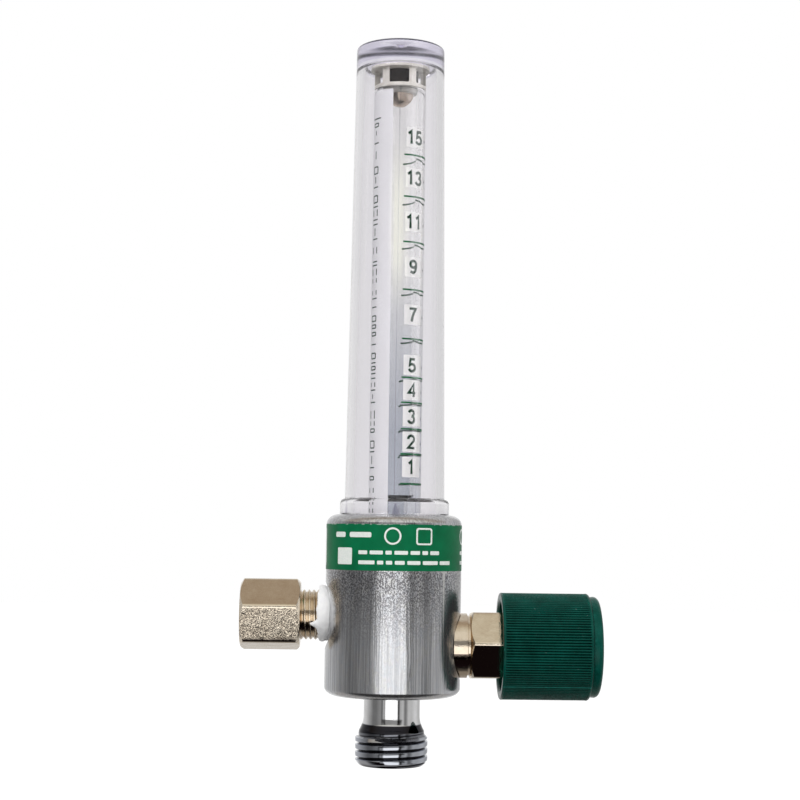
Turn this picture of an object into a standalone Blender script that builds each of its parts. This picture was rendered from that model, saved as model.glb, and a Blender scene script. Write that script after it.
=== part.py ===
# Medical oxygen flowmeter: a turned body with a needle valve, and a ball in a clear tapered tube.
# Metres, +Z up. The origin is the centre of the inlet adapter's end face, and the inlet axis is X.
import math

import bmesh
import bpy

# Fits
SEAT_GAP = 0.00005  # between flat faces that bear on each other
SLIDE_GAP = 0.0001  # on the radius, between a spigot or shaft and its bore
SEAL_GAP = 0.00008  # on the section radius of an O-ring in its groove
GROOVE_SIDE_GAP = 0.00015  # each side of an O-ring
CUT_OVERRUN = 0.001  # how far a cutter stands out of the piece

# Turned body
BODY_RADIUS = 0.01335
BODY_TOP = 0.0198  # above the inlet axis
BODY_FOOT = 0.0155  # below the inlet axis
TOP_EDGE_WIDTH = 0.0025
TOP_EDGE_HEIGHT = 0.0019
FOOT_EDGE_WIDTH = 0.0023
FOOT_EDGE_HEIGHT = 0.0016

# Label wrapped round the body, in a shallow groove
LABEL_BASE = 0.009  # above the inlet axis
LABEL_HEIGHT = 0.00885
LABEL_THICKNESS = 0.00015
LABEL_GROOVE_DEPTH = 0.00012
LABEL_SEAM = 0.0012  # slit at the back, where the ends meet

# Passages in the body
COVER_BORE_DEPTH = 0.0072
TUBE_SOCKET_DEPTH = 0.0053
SUPPLY_RADIUS = 0.0022
SUPPLY_OVERRUN = 0.0012  # below the inlet axis
DRILL_POINT = 0.0012
DRILL_TIP_RADIUS = 0.0002
INLET_PASSAGE_RADIUS = 0.002
RETURN_RADIUS = 0.001
OUTLET_BORE_RADIUS = 0.0026
OUTLET_BORE_OVERRUN = 0.0019  # above the valve axis
BORE_END_GAP = 0.0002  # between a threaded end and the bottom of its bore

# Inlet adapter: half-inch hexagon, pipe thread into the body, pipe socket outside
HEX_ACROSS_FLATS = 0.0127
HEX_CHAMFER_LENGTH = 0.0008
HEX_CHAMFER_DEPTH = 0.0011
HEX_CUTTER_WALL = 0.003
INLET_HEX_LENGTH = 0.0117
INLET_HEX_ROLL = 15.0  # degrees from straight up to the nearest corner in front
INLET_STANDOFF = 0.007  # hexagon to the face cut in the body
INLET_FACE_DEPTH = 0.00215  # of that face below the body's surface
INLET_FACE_RADIUS = 0.0065
INLET_THREAD_RADIUS = 0.0049
INLET_THREAD_DEPTH = 0.0064  # into the body
INLET_THREAD_CHAMFER = 0.0005
INLET_SHOULDER_LENGTH = 0.0009
INLET_SOCKET_RADIUS = 0.00435
INLET_SOCKET_DEPTH = 0.0096
INLET_COUNTERSINK = 0.0005
INLET_BORE_RADIUS = 0.0021
FILTER_THICKNESS = 0.0015

# Thread tape wound on the adapter
TAPE_LENGTH = 0.004
TAPE_THICKNESS = 0.00055  # at the body
TAPE_START_THICKNESS = 0.00017
TAPE_LAP_START = 0.0012  # edge of the outer turn, from the tape's start
TAPE_LAP_THICKNESS = 0.00041  # under that edge
TAPE_LAP_STEP = 0.00018
TAPE_LAP_RISE = 0.00012
TAPE_CREST = 0.003  # thickest place, from the tape's start

# Needle valve, across the body below the inlet
VALVE_DROP = 0.0057  # valve axis below the inlet axis
VALVE_FACE_DEPTH = 0.00255
VALVE_FACE_RADIUS = 0.0068
CHAMBER_RADIUS = 0.0042
CHAMBER_BEFORE = 0.002  # from the return passage's axis towards the seat
CHAMBER_AFTER = 0.0013  # and towards the bonnet
VALVE_SEAT_RADIUS = 0.0027
VALVE_SEAT_THICKNESS = 0.0014
VALVE_SEAT_CHAMFER = 0.0005
ORIFICE_RADIUS = 0.0011
NEEDLE_SLOPE = 0.475
NEEDLE_SHANK_RADIUS = 0.0015
BONNET_SPIGOT_RADIUS = 0.005
BONNET_SEAL_THICKNESS = 0.0008
BONNET_COLLAR_RADIUS = 0.00635
BONNET_COLLAR_LENGTH = 0.0029
BONNET_GROOVE_DEPTH = 0.0005
BONNET_GROOVE_WIDTH = 0.0005
BONNET_HEX_LENGTH = 0.0094
BONNET_HEX_LEAD = 0.000125  # of the milled flats into the groove
BONNET_HEX_ROLL = 24.0
STEM_THREAD_RADIUS = 0.0036
STEM_THREAD_LENGTH = 0.0052
STEM_THREAD_LEAD = 0.0008  # of the thread's end past the bonnet, into the chamber
STEM_THREAD_CHAMFER = 0.0004
STEM_RADIUS = 0.003
STEM_TAIL_RADIUS = 0.0022
STEM_STAND_OUT = 0.001  # of its shoulder past the bonnet
STEM_HOLE_POINT = 0.0005
THREAD_PITCH = 0.000794
OPENING_TURNS = 1.5

# Knob
KNOB_RADIUS = 0.01045
KNOB_LENGTH = 0.0175
KNOB_LAP = 0.00345  # of the skirt over the bonnet
KNOB_RECESS_RADIUS = 0.0088
KNOB_RECESS_DEPTH = 0.01
KNOB_RECESS_CHAMFER = 0.0004
KNOB_WEB = 0.002
KNOB_HUB_RADIUS = 0.0045
KNOB_BEAD = 0.0009  # rounded end of the skirt
KNOB_PLAIN_BAND = 0.0015  # from the skirt's end to the ribs
KNOB_SHOULDER_LENGTH = 0.0013
KNOB_SHOULDER_DEPTH = 0.0006
RIB_COUNT = 120
RIB_DEPTH = 0.00026
RIB_RELIEF = 0.00005  # of the crests below the plain ends
RIB_CREST = 0.5  # flat crest as a share of the pitch

# Knob's cap, screw and washer
CAP_RADIUS = 0.00987
CAP_THICKNESS = 0.00185
CAP_EDGE = 0.0006
CAP_WEB = 0.0014
CAP_SKIRT_LENGTH = 0.0034
CAP_SKIRT_WALL = 0.0011
SCREW_HEAD_RADIUS = 0.003
SCREW_HEAD_HEIGHT = 0.0018
SCREW_HEAD_ROUND = 0.0006
SCREW_SHANK_RADIUS = 0.00095
SCREW_SHANK_LENGTH = 0.0052
SCREW_SLOT_WIDTH = 0.0008
SCREW_SLOT_DEPTH = 0.0008
WASHER_RADIUS = 0.0036
WASHER_THICKNESS = 0.0006

# Outlet nipple, nine sixteenths inch thread
NIPPLE_SPIGOT_RADIUS = 0.0046
NIPPLE_SPIGOT_LENGTH = 0.0043
NIPPLE_NECK_RADIUS = 0.00553
NIPPLE_NECK_LENGTH = 0.0047
NIPPLE_FLARE_LENGTH = 0.001
NIPPLE_THREAD_RADIUS = 0.00712
NIPPLE_THREAD_LENGTH = 0.0068
NIPPLE_CHAMFER_LENGTH = 0.0009
NIPPLE_CHAMFER_DEPTH = 0.0009
NIPPLE_MOUTH_RADIUS = 0.0044
NIPPLE_MOUTH_DEPTH = 0.006
NIPPLE_BORE_RADIUS = 0.0024

# O-ring grooves, below the surface that they are cut in
OUTLET_GROOVE_DEPTH = 0.0011
COVER_GROOVE_DEPTH = 0.0008
TUBE_GROOVE_DEPTH = 0.001
STEM_GROOVE_DEPTH = 0.0012

# Clear outer cover, closed at the top
COVER_FLANGE_RADIUS = 0.0108
COVER_FLANGE_HEIGHT = 0.003
COVER_FLANGE_ROUND = 0.001
COVER_FOOT_RADIUS = 0.00985  # outside, just above the flange
COVER_TOP_RADIUS = 0.00885
COVER_TOP = 0.1138  # above the inlet axis
COVER_WALL = 0.0015
COVER_END_WALL = 0.00405
COVER_EDGE = 0.0005
COVER_FILLET = 0.0009  # inside, under the end wall
COVER_FOOT_GAP = 0.0003  # below the spigot
GATE_RADIUS = 0.001
GATE_DEPTH = 0.0003

# Flow tube and ball
TUBE_RADIUS = 0.00517
TUBE_BORE_LOW = 0.00295  # just above the ball's lower seat
TUBE_BORE_HIGH = 0.00355
TUBE_FOOT_BORE = 0.0019
TUBE_SEAT_HEIGHT = 0.0225  # of the seat's lower edge above the inlet axis
TUBE_SEAT_SLOPE = 1.0  # of its cone, radius to height
BALL_RADIUS = 0.00278
BALL_GAP = 0.00006  # above or below it at the ends of its travel

# Ball stop, between the flow tube and the cover's end wall
STOP_FLANGE_RADIUS = 0.0059
STOP_FLANGE_HEIGHT = 0.0009
STOP_WALL = 0.0011
STOP_WINDOWS = 6
STOP_WINDOW_WIDTH = 0.0038
STOP_WINDOW_HEIGHT = 0.0029
STOP_WINDOW_TURN = 4.0  # degrees that the front window faces towards the inlet
STOP_RING_HEIGHT = 0.00085
STOP_HOLE_RADIUS = 0.00245
STOP_MOUTH_RADIUS = 0.00288
STOP_SPIGOT_LENGTH = 0.0008

# Facets
LARGE_STEPS = 48
MEDIUM_STEPS = 32
SMALL_STEPS = 20
SECTION_STEPS = 6
ARC_STEPS = 3
BALL_STEPS = 24

# Worked out from the values above. On the inlet and valve axes, places are X from the body's axis.
HEX_CORNER_RADIUS = HEX_ACROSS_FLATS / 2 / math.cos(math.pi / 6)
INLET_FACE = -(BODY_RADIUS - INLET_FACE_DEPTH)
INLET_HEX_END = INLET_FACE - INLET_STANDOFF
INLET_END = INLET_HEX_END - INLET_HEX_LENGTH
INLET_BORE_END = INLET_FACE + INLET_THREAD_DEPTH
INLET_THREAD_END = INLET_BORE_END - BORE_END_GAP
BODY_X = -INLET_END

COVER_FLOOR = BODY_TOP - COVER_BORE_DEPTH
COVER_SPIGOT_END = COVER_FLOOR + COVER_FOOT_GAP
COVER_SHOULDER = BODY_TOP + SEAT_GAP
COVER_BORE_RADIUS = COVER_FOOT_RADIUS + SLIDE_GAP
COVER_GROOVE = (COVER_SPIGOT_END + COVER_SHOULDER) / 2
COVER_CEILING = COVER_TOP - COVER_END_WALL
TUBE_FLOOR = COVER_FLOOR - TUBE_SOCKET_DEPTH
TUBE_SOCKET_RADIUS = TUBE_RADIUS + SLIDE_GAP
TUBE_END = TUBE_FLOOR + SEAT_GAP
TUBE_GROOVE = (TUBE_FLOOR + COVER_FLOOR) / 2

RETURN_OFFSET = (TUBE_SOCKET_RADIUS + COVER_FOOT_RADIUS - COVER_WALL) / 2
CHAMBER_START = RETURN_OFFSET - CHAMBER_BEFORE
CHAMBER_END = RETURN_OFFSET + CHAMBER_AFTER
SEAT_FLOOR = CHAMBER_START - VALVE_SEAT_THICKNESS - 2 * SEAT_GAP
VALVE_FACE = BODY_RADIUS - VALVE_FACE_DEPTH
BONNET_TIP = CHAMBER_END + BORE_END_GAP
BONNET_SHOULDER = VALVE_FACE + BONNET_SEAL_THICKNESS + 2 * SEAT_GAP
BONNET_HEX_START = BONNET_SHOULDER + BONNET_COLLAR_LENGTH + BONNET_GROOVE_WIDTH
BONNET_END = BONNET_HEX_START + BONNET_HEX_LENGTH
BONNET_BORE_RADIUS = STEM_RADIUS + SLIDE_GAP
OPENING_TRAVEL = THREAD_PITCH * OPENING_TURNS
STEM_THREAD_START = BONNET_TIP - STEM_THREAD_LEAD
STEM_THREAD_END = STEM_THREAD_START + STEM_THREAD_LENGTH
BONNET_STOP = STEM_THREAD_END + OPENING_TRAVEL + SLIDE_GAP
STEM_GROOVE = (BONNET_STOP + BONNET_END - OPENING_TRAVEL) / 2
STEM_SHOULDER = BONNET_END + STEM_STAND_OUT

KNOB_FACE = BONNET_END - KNOB_LAP
KNOB_HUB_START = STEM_SHOULDER + SEAT_GAP
KNOB_WEB_START = KNOB_FACE + KNOB_RECESS_DEPTH
KNOB_WEB_END = KNOB_WEB_START + KNOB_WEB
KNOB_END = KNOB_FACE + KNOB_LENGTH
STEM_END = KNOB_WEB_END - BORE_END_GAP
WASHER_START = KNOB_WEB_END + SEAT_GAP
SCREW_SEAT = WASHER_START + WASHER_THICKNESS + SEAT_GAP
SCREW_END = SCREW_SEAT - SCREW_SHANK_LENGTH
CAP_SEAT = KNOB_END + SEAT_GAP
CAP_END = CAP_SEAT + CAP_THICKNESS

NIPPLE_BORE_TOP = -BODY_FOOT + NIPPLE_SPIGOT_LENGTH + BORE_END_GAP
NIPPLE_SHOULDER = -BODY_FOOT - SEAT_GAP
NIPPLE_SPIGOT_TOP = -BODY_FOOT + NIPPLE_SPIGOT_LENGTH
NIPPLE_GROOVE = -BODY_FOOT + NIPPLE_SPIGOT_LENGTH / 2
NIPPLE_FLARE = NIPPLE_SHOULDER - NIPPLE_NECK_LENGTH
NIPPLE_THREAD_TOP = NIPPLE_FLARE - NIPPLE_FLARE_LENGTH
NIPPLE_THREAD_LOW = NIPPLE_THREAD_TOP - NIPPLE_THREAD_LENGTH
NIPPLE_END = NIPPLE_THREAD_LOW - NIPPLE_CHAMFER_LENGTH

STOP_TOP = COVER_CEILING - SEAT_GAP
STOP_WINDOW_TOP = STOP_TOP - STOP_FLANGE_HEIGHT
STOP_WINDOW_LOW = STOP_WINDOW_TOP - STOP_WINDOW_HEIGHT
STOP_LOW = STOP_WINDOW_LOW - STOP_RING_HEIGHT
TUBE_TOP = STOP_LOW - SEAT_GAP


def ball_height_in_cone(wide_radius, wide_height, slope):
    # Centre of the ball where it touches a cone that narrows by slope for each unit of height
    contact_radius = BALL_RADIUS / math.hypot(1, slope)
    contact_height = wide_height + (wide_radius - contact_radius) / slope
    return contact_height - slope * contact_radius


STOP_SLOPE = (STOP_MOUTH_RADIUS - STOP_HOLE_RADIUS) / STOP_RING_HEIGHT
BALL_HIGH = ball_height_in_cone(STOP_MOUTH_RADIUS, STOP_LOW, STOP_SLOPE) - BALL_GAP
BALL_LOW = ball_height_in_cone(TUBE_FOOT_BORE, TUBE_SEAT_HEIGHT, -TUBE_SEAT_SLOPE) + BALL_GAP


def clear_scene():
    for obj in list(bpy.data.objects):
        bpy.data.objects.remove(obj, do_unlink=True)


def new_collection(name, hidden=False):
    collection = bpy.data.collections.new(name)
    bpy.context.scene.collection.children.link(collection)
    collection.hide_render = hidden
    return collection


def new_material(name, colour, roughness, metallic=0.0, alpha=1.0):
    material = bpy.data.materials.new(name)
    material.use_nodes = True
    material.diffuse_color = (*colour, alpha)
    shader = material.node_tree.nodes["Principled BSDF"]
    shader.inputs["Base Color"].default_value = (*colour, 1.0)
    shader.inputs["Roughness"].default_value = roughness
    shader.inputs["Metallic"].default_value = metallic
    shader.inputs["Alpha"].default_value = alpha
    return material


def new_empty(name, parent=None, location=(0, 0, 0), along_x=False):
    # Where along_x is set its local Z is world X, so that every axis takes its lathe profiles the same way
    empty = bpy.data.objects.new(name, None)
    empty.empty_display_size = 0.005
    empty.location = location
    if along_x:
        empty.rotation_euler = (0, math.pi / 2, 0)
    empty.parent = parent
    PARTS.objects.link(empty)
    return empty


def as_part(obj, material, parent):
    obj.data.materials.append(material)
    obj.parent = parent
    PARTS.objects.link(obj)
    return obj


def as_cutter(obj, parent):
    obj.parent = parent
    obj.hide_render = True
    obj.display_type = "WIRE"
    CUTTERS.objects.link(obj)
    return obj


def cut(part, *cutters):
    for cutter in cutters:
        boolean = part.modifiers.new(f"Cut {cutter.name}", "BOOLEAN")
        boolean.operation = "DIFFERENCE"
        boolean.solver = "EXACT"
        boolean.object = cutter


def keep_flats_flat(part):
    part.modifiers.new("Flat faces shade flat", "WEIGHTED_NORMAL")


def rounded(corner, width, height, start, stop, steps=ARC_STEPS):
    # Quarter ellipse as (height, radius) points round the corner, with the angles counted from the radius
    centre_height, centre_radius = corner
    points = []
    for step in range(steps + 1):
        angle = math.radians(start + (stop - start) * step / steps)
        radius = centre_radius + width * math.cos(angle)
        points.append((centre_height + height * math.sin(angle), radius))
    return points


def lathe(name, outer, inner=(), steps=MEDIUM_STEPS):
    # Turns a profile round local Z. Both sides are (height, radius) points from low to high,
    # and an inner side that starts or ends on the axis makes a blind hole.
    down = list(reversed(outer))
    inner = list(inner)
    ring = bool(inner) and inner[0][1] > 0 and inner[-1][1] > 0
    if not inner:
        outline = [(outer[-1][0], 0.0)] + down + [(outer[0][0], 0.0)]
    elif ring:
        outline = down + inner
    elif inner[-1][1] == 0:
        outline = [(outer[-1][0], 0.0)] + down + inner
    else:
        outline = inner + down + [(outer[0][0], 0.0)]
    edges = [(i, i + 1) for i in range(len(outline) - 1)]
    if ring:
        edges.append((len(outline) - 1, 0))
    mesh = bpy.data.meshes.new(name)
    mesh.from_pydata([(radius, 0.0, height) for height, radius in outline], edges, [])
    obj = bpy.data.objects.new(name, mesh)
    screw = obj.modifiers.new("Turn", "SCREW")
    screw.steps = screw.render_steps = steps
    screw.use_merge_vertices = True
    screw.merge_threshold = 1e-6
    screw.use_smooth_shade = True
    return obj


def seal_section(groove_floor, bore):
    # (ring radius, section radius) of the O-ring that fills a groove
    return (groove_floor + bore) / 2, (bore - groove_floor) / 2 - SEAL_GAP


def groove(centre, floor, bore):
    # Low and high edge of the groove that takes that O-ring
    half_width = seal_section(floor, bore)[1] + GROOVE_SIDE_GAP
    return centre - half_width, centre + half_width


def seal_ring(name, centre, floor, bore, steps=MEDIUM_STEPS):
    # Turned in as many steps as the piece whose groove it fills, so that their facets line up
    ring_radius, section_radius = seal_section(floor, bore)
    outer = []
    inner = []
    half = SECTION_STEPS // 2
    for step in range(half + 1):
        angle = math.pi * step / half
        height = centre - section_radius * math.cos(angle)
        outer.append((height, ring_radius + section_radius * math.sin(angle)))
        if 0 < step < half:
            inner.append((height, ring_radius - section_radius * math.sin(angle)))
    return lathe(name, outer, inner, steps)


def box(name, size, location, turn=0.0):
    mesh = bpy.data.meshes.new(name)
    shape = bmesh.new()
    bmesh.ops.create_cube(shape, size=1.0)
    bmesh.ops.scale(shape, vec=size, verts=shape.verts)
    shape.to_mesh(mesh)
    shape.free()
    obj = bpy.data.objects.new(name, mesh)
    obj.location = location
    obj.rotation_euler = (0, 0, turn)
    return obj


def hexagon_cutter(name, low, high, roll):
    # A hexagonal tube whose inside is the hexagon: it mills six flats on a turned blank
    mesh = bpy.data.meshes.new(name)
    shape = bmesh.new()
    bmesh.ops.create_cone(
        shape,
        cap_ends=False,
        segments=6,
        radius1=HEX_CORNER_RADIUS,
        radius2=HEX_CORNER_RADIUS,
        depth=high - low,
    )
    shape.verts.ensure_lookup_table()
    first = shape.verts[0].co
    shape.to_mesh(mesh)
    obj = bpy.data.objects.new(name, mesh)
    obj.location = (0, 0, (low + high) / 2)
    obj.rotation_euler = (0, 0, math.radians(roll) - math.atan2(first.y, first.x))
    shape.free()
    wall = obj.modifiers.new("Wall", "SOLIDIFY")
    wall.thickness = HEX_CUTTER_WALL
    wall.offset = 1.0
    wall.use_even_offset = True
    return obj


def rib_grooves(name, low, high):
    # The space between the knob's ribs: a ring, round outside, whose inside is the ribs' outline
    crest = KNOB_RADIUS - RIB_RELIEF
    root = crest - RIB_DEPTH
    pitch = 2 * math.pi / RIB_COUNT
    ribs = []
    for rib in range(RIB_COUNT):
        centre = rib * pitch
        for radius, angle in (
            (crest, centre - pitch * RIB_CREST / 2),
            (crest, centre + pitch * RIB_CREST / 2),
            (root, centre + pitch / 2),
        ):
            ribs.append((radius * math.cos(angle), radius * math.sin(angle)))
    rim_radius = KNOB_RADIUS + CUT_OVERRUN
    rim = [
        (rim_radius * math.cos(angle), rim_radius * math.sin(angle))
        for angle in (2 * math.pi * step / SMALL_STEPS for step in range(SMALL_STEPS))
    ]
    curve = bpy.data.curves.new(name, "CURVE")
    curve.dimensions = "2D"
    curve.fill_mode = "BOTH"
    curve.extrude = (high - low) / 2
    for loop in (rim, ribs):
        spline = curve.splines.new("POLY")
        spline.points.add(len(loop) - 1)
        for point, (x, y) in zip(spline.points, loop):
            point.co = (x, y, 0, 1)
        spline.use_cyclic_u = True
    guide = bpy.data.objects.new(f"{name}_curve", curve)
    bpy.context.scene.collection.objects.link(guide)
    graph = bpy.context.evaluated_depsgraph_get()
    mesh = bpy.data.meshes.new_from_object(guide.evaluated_get(graph))
    bpy.data.objects.remove(guide, do_unlink=True)
    shape = bmesh.new()
    shape.from_mesh(mesh)
    bmesh.ops.remove_doubles(shape, verts=shape.verts, dist=1e-7)
    bmesh.ops.recalc_face_normals(shape, faces=shape.faces)
    shape.to_mesh(mesh)
    shape.free()
    mesh.name = name
    obj = bpy.data.objects.new(name, mesh)
    obj.location = (0, 0, (low + high) / 2)
    return obj


def make_valve_body():
    top_flat = BODY_RADIUS - TOP_EDGE_WIDTH
    foot_flat = BODY_RADIUS - FOOT_EDGE_WIDTH
    label_radius = BODY_RADIUS - LABEL_GROOVE_DEPTH
    label_top = LABEL_BASE + LABEL_HEIGHT
    foot_edge = rounded(
        (-BODY_FOOT + FOOT_EDGE_HEIGHT, foot_flat), FOOT_EDGE_WIDTH, FOOT_EDGE_HEIGHT, -90, 0
    )
    top_edge = rounded(
        (BODY_TOP - TOP_EDGE_HEIGHT, top_flat), TOP_EDGE_WIDTH, TOP_EDGE_HEIGHT, 0, 90
    )
    outer = foot_edge + [
        (LABEL_BASE, BODY_RADIUS),
        (LABEL_BASE, label_radius),
        (label_top, label_radius),
        (label_top, BODY_RADIUS),
    ]
    body = lathe("valve_body", outer + top_edge, steps=LARGE_STEPS)
    as_part(body, SATIN_NICKEL, BODY_AXIS)

    upright = lathe(
        "cut_cover_and_tube_bores",
        [
            (-SUPPLY_OVERRUN - DRILL_POINT, DRILL_TIP_RADIUS),
            (-SUPPLY_OVERRUN, SUPPLY_RADIUS),
            (TUBE_FLOOR, SUPPLY_RADIUS),
            (TUBE_FLOOR, TUBE_SOCKET_RADIUS),
            (COVER_FLOOR, TUBE_SOCKET_RADIUS),
            (COVER_FLOOR, COVER_BORE_RADIUS),
            (BODY_TOP + CUT_OVERRUN, COVER_BORE_RADIUS),
        ],
    )
    return_passage = lathe(
        "cut_return_passage",
        [(-VALVE_DROP, RETURN_RADIUS), (COVER_FLOOR + CUT_OVERRUN, RETURN_RADIUS)],
        steps=SMALL_STEPS // 2,
    )
    return_passage.location = (RETURN_OFFSET, 0, 0)
    outlet_bore = lathe(
        "cut_outlet_bore",
        [
            (-BODY_FOOT - CUT_OVERRUN, NIPPLE_SPIGOT_RADIUS + SLIDE_GAP),
            (NIPPLE_BORE_TOP, NIPPLE_SPIGOT_RADIUS + SLIDE_GAP),
            (NIPPLE_BORE_TOP, OUTLET_BORE_RADIUS),
            (-VALVE_DROP + OUTLET_BORE_OVERRUN, OUTLET_BORE_RADIUS),
        ],
        steps=SMALL_STEPS,
    )
    for cutter in (upright, return_passage, outlet_bore):
        as_cutter(cutter, BODY_AXIS)
    inlet_bore = lathe(
        "cut_inlet_bore",
        [
            (-BODY_RADIUS - CUT_OVERRUN, INLET_FACE_RADIUS),
            (INLET_FACE, INLET_FACE_RADIUS),
            (INLET_FACE, INLET_THREAD_RADIUS + SLIDE_GAP),
            (INLET_BORE_END, INLET_THREAD_RADIUS + SLIDE_GAP),
            (INLET_BORE_END, INLET_PASSAGE_RADIUS),
            (0.0, INLET_PASSAGE_RADIUS),
        ],
        steps=SMALL_STEPS,
    )
    as_cutter(inlet_bore, INLET_AXIS)
    valve_bore = lathe(
        "cut_valve_bore",
        [
            (0.0, ORIFICE_RADIUS),
            (SEAT_FLOOR, ORIFICE_RADIUS),
            (SEAT_FLOOR, VALVE_SEAT_RADIUS + SLIDE_GAP),
            (CHAMBER_START, VALVE_SEAT_RADIUS + SLIDE_GAP),
            (CHAMBER_START, CHAMBER_RADIUS),
            (CHAMBER_END, CHAMBER_RADIUS),
            (CHAMBER_END, BONNET_SPIGOT_RADIUS + SLIDE_GAP),
            (VALVE_FACE, BONNET_SPIGOT_RADIUS + SLIDE_GAP),
            (VALVE_FACE, VALVE_FACE_RADIUS),
            (BODY_RADIUS + CUT_OVERRUN, VALVE_FACE_RADIUS),
        ],
        steps=SMALL_STEPS,
    )
    as_cutter(valve_bore, VALVE_AXIS)
    cut(body, upright, inlet_bore, outlet_bore, valve_bore, return_passage)
    keep_flats_flat(body)


def make_body_label():
    inside = BODY_RADIUS - LABEL_GROOVE_DEPTH + SEAT_GAP / 2
    outside = inside + LABEL_THICKNESS
    low = LABEL_BASE + SEAT_GAP
    top = LABEL_BASE + LABEL_HEIGHT - SEAT_GAP
    label = lathe(
        "body_label", [(low, outside), (top, outside)], [(low, inside), (top, inside)], LARGE_STEPS
    )
    as_part(label, GREEN_LABEL, BODY_AXIS)
    seam = box(
        "cut_label_seam",
        (LABEL_SEAM, 2 * CUT_OVERRUN, LABEL_HEIGHT + 2 * CUT_OVERRUN),
        (0, BODY_RADIUS, LABEL_BASE + LABEL_HEIGHT / 2),
    )
    as_cutter(seam, BODY_AXIS)
    cut(label, seam)


def make_inlet_adapter():
    chamfered = HEX_CORNER_RADIUS - HEX_CHAMFER_DEPTH
    socket_end = INLET_END + INLET_SOCKET_DEPTH
    outer = [
        (INLET_END, chamfered),
        (INLET_END + HEX_CHAMFER_LENGTH, HEX_CORNER_RADIUS),
        (INLET_HEX_END - HEX_CHAMFER_LENGTH, HEX_CORNER_RADIUS),
        (INLET_HEX_END, chamfered),
        (INLET_HEX_END + INLET_SHOULDER_LENGTH, INLET_THREAD_RADIUS),
        (INLET_THREAD_END - INLET_THREAD_CHAMFER, INLET_THREAD_RADIUS),
        (INLET_THREAD_END, INLET_THREAD_RADIUS - INLET_THREAD_CHAMFER),
    ]
    inner = [
        (INLET_END, INLET_SOCKET_RADIUS + INLET_COUNTERSINK),
        (INLET_END + INLET_COUNTERSINK, INLET_SOCKET_RADIUS),
        (socket_end, INLET_SOCKET_RADIUS),
        (socket_end, INLET_BORE_RADIUS),
        (INLET_THREAD_END, INLET_BORE_RADIUS),
    ]
    adapter = lathe("inlet_adapter", outer, inner)
    as_part(adapter, BRIGHT_NICKEL, INLET_AXIS)
    flats = hexagon_cutter(
        "cut_inlet_hexagon", INLET_END - CUT_OVERRUN, INLET_HEX_END + SLIDE_GAP, INLET_HEX_ROLL
    )
    as_cutter(flats, INLET_AXIS)
    cut(adapter, flats)
    keep_flats_flat(adapter)

    high = socket_end - SEAT_GAP
    radius = INLET_SOCKET_RADIUS - SEAT_GAP
    disc = lathe(
        "inlet_filter", [(high - FILTER_THICKNESS, radius), (high, radius)], steps=SMALL_STEPS
    )
    as_part(disc, SINTERED_BRONZE, INLET_AXIS)


def make_thread_tape():
    start = INLET_FACE - SEAT_GAP - TAPE_LENGTH
    inside = INLET_THREAD_RADIUS + SEAT_GAP
    lap = start + TAPE_LAP_START
    outer = [
        (start, inside + TAPE_START_THICKNESS),
        (lap, inside + TAPE_LAP_THICKNESS),
        (lap + TAPE_LAP_RISE, inside + TAPE_LAP_THICKNESS + TAPE_LAP_STEP),
        (start + TAPE_CREST, inside + TAPE_THICKNESS + TAPE_LAP_STEP),
        (start + TAPE_LENGTH, inside + TAPE_THICKNESS),
    ]
    tape = lathe("thread_tape", outer, [(start, inside), (start + TAPE_LENGTH, inside)])
    as_part(tape, WHITE_TAPE, INLET_AXIS)


def make_bonnet():
    chamfered = HEX_CORNER_RADIUS - HEX_CHAMFER_DEPTH
    groove_radius = BONNET_COLLAR_RADIUS - BONNET_GROOVE_DEPTH
    outer = [
        (BONNET_TIP, BONNET_SPIGOT_RADIUS),
        (BONNET_SHOULDER, BONNET_SPIGOT_RADIUS),
        (BONNET_SHOULDER, BONNET_COLLAR_RADIUS),
        (BONNET_HEX_START - BONNET_GROOVE_WIDTH, BONNET_COLLAR_RADIUS),
        (BONNET_HEX_START - BONNET_GROOVE_WIDTH / 2, groove_radius),
        (BONNET_HEX_START, chamfered),
        (BONNET_HEX_START + HEX_CHAMFER_LENGTH, HEX_CORNER_RADIUS),
        (BONNET_END - HEX_CHAMFER_LENGTH, HEX_CORNER_RADIUS),
        (BONNET_END, chamfered),
    ]
    thread_bore = STEM_THREAD_RADIUS + SLIDE_GAP
    inner = [
        (BONNET_TIP, thread_bore),
        (BONNET_STOP, thread_bore),
        (BONNET_STOP, BONNET_BORE_RADIUS),
        (BONNET_END, BONNET_BORE_RADIUS),
    ]
    bonnet = lathe("bonnet", outer, inner)
    as_part(bonnet, BRIGHT_NICKEL, VALVE_AXIS)
    flats = hexagon_cutter(
        "cut_bonnet_hexagon",
        BONNET_HEX_START - BONNET_HEX_LEAD,
        BONNET_END + CUT_OVERRUN,
        BONNET_HEX_ROLL,
    )
    as_cutter(flats, VALVE_AXIS)
    cut(bonnet, flats)
    keep_flats_flat(bonnet)

    low = VALVE_FACE + SEAT_GAP
    high = low + BONNET_SEAL_THICKNESS
    inside = BONNET_SPIGOT_RADIUS + SLIDE_GAP
    outside = BONNET_COLLAR_RADIUS - SLIDE_GAP
    seal = lathe(
        "bonnet_seal", [(low, outside), (high, outside)], [(low, inside), (high, inside)]
    )
    as_part(seal, BLACK_RUBBER, VALVE_AXIS)


def make_valve_seat():
    low = SEAT_FLOOR + SEAT_GAP
    high = low + VALVE_SEAT_THICKNESS
    seat = lathe(
        "valve_seat",
        [(low, VALVE_SEAT_RADIUS), (high, VALVE_SEAT_RADIUS)],
        [
            (low, ORIFICE_RADIUS),
            (high - VALVE_SEAT_CHAMFER, ORIFICE_RADIUS),
            (high, ORIFICE_RADIUS + VALVE_SEAT_CHAMFER),
        ],
        SMALL_STEPS,
    )
    as_part(seat, BRASS, VALVE_AXIS)


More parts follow.
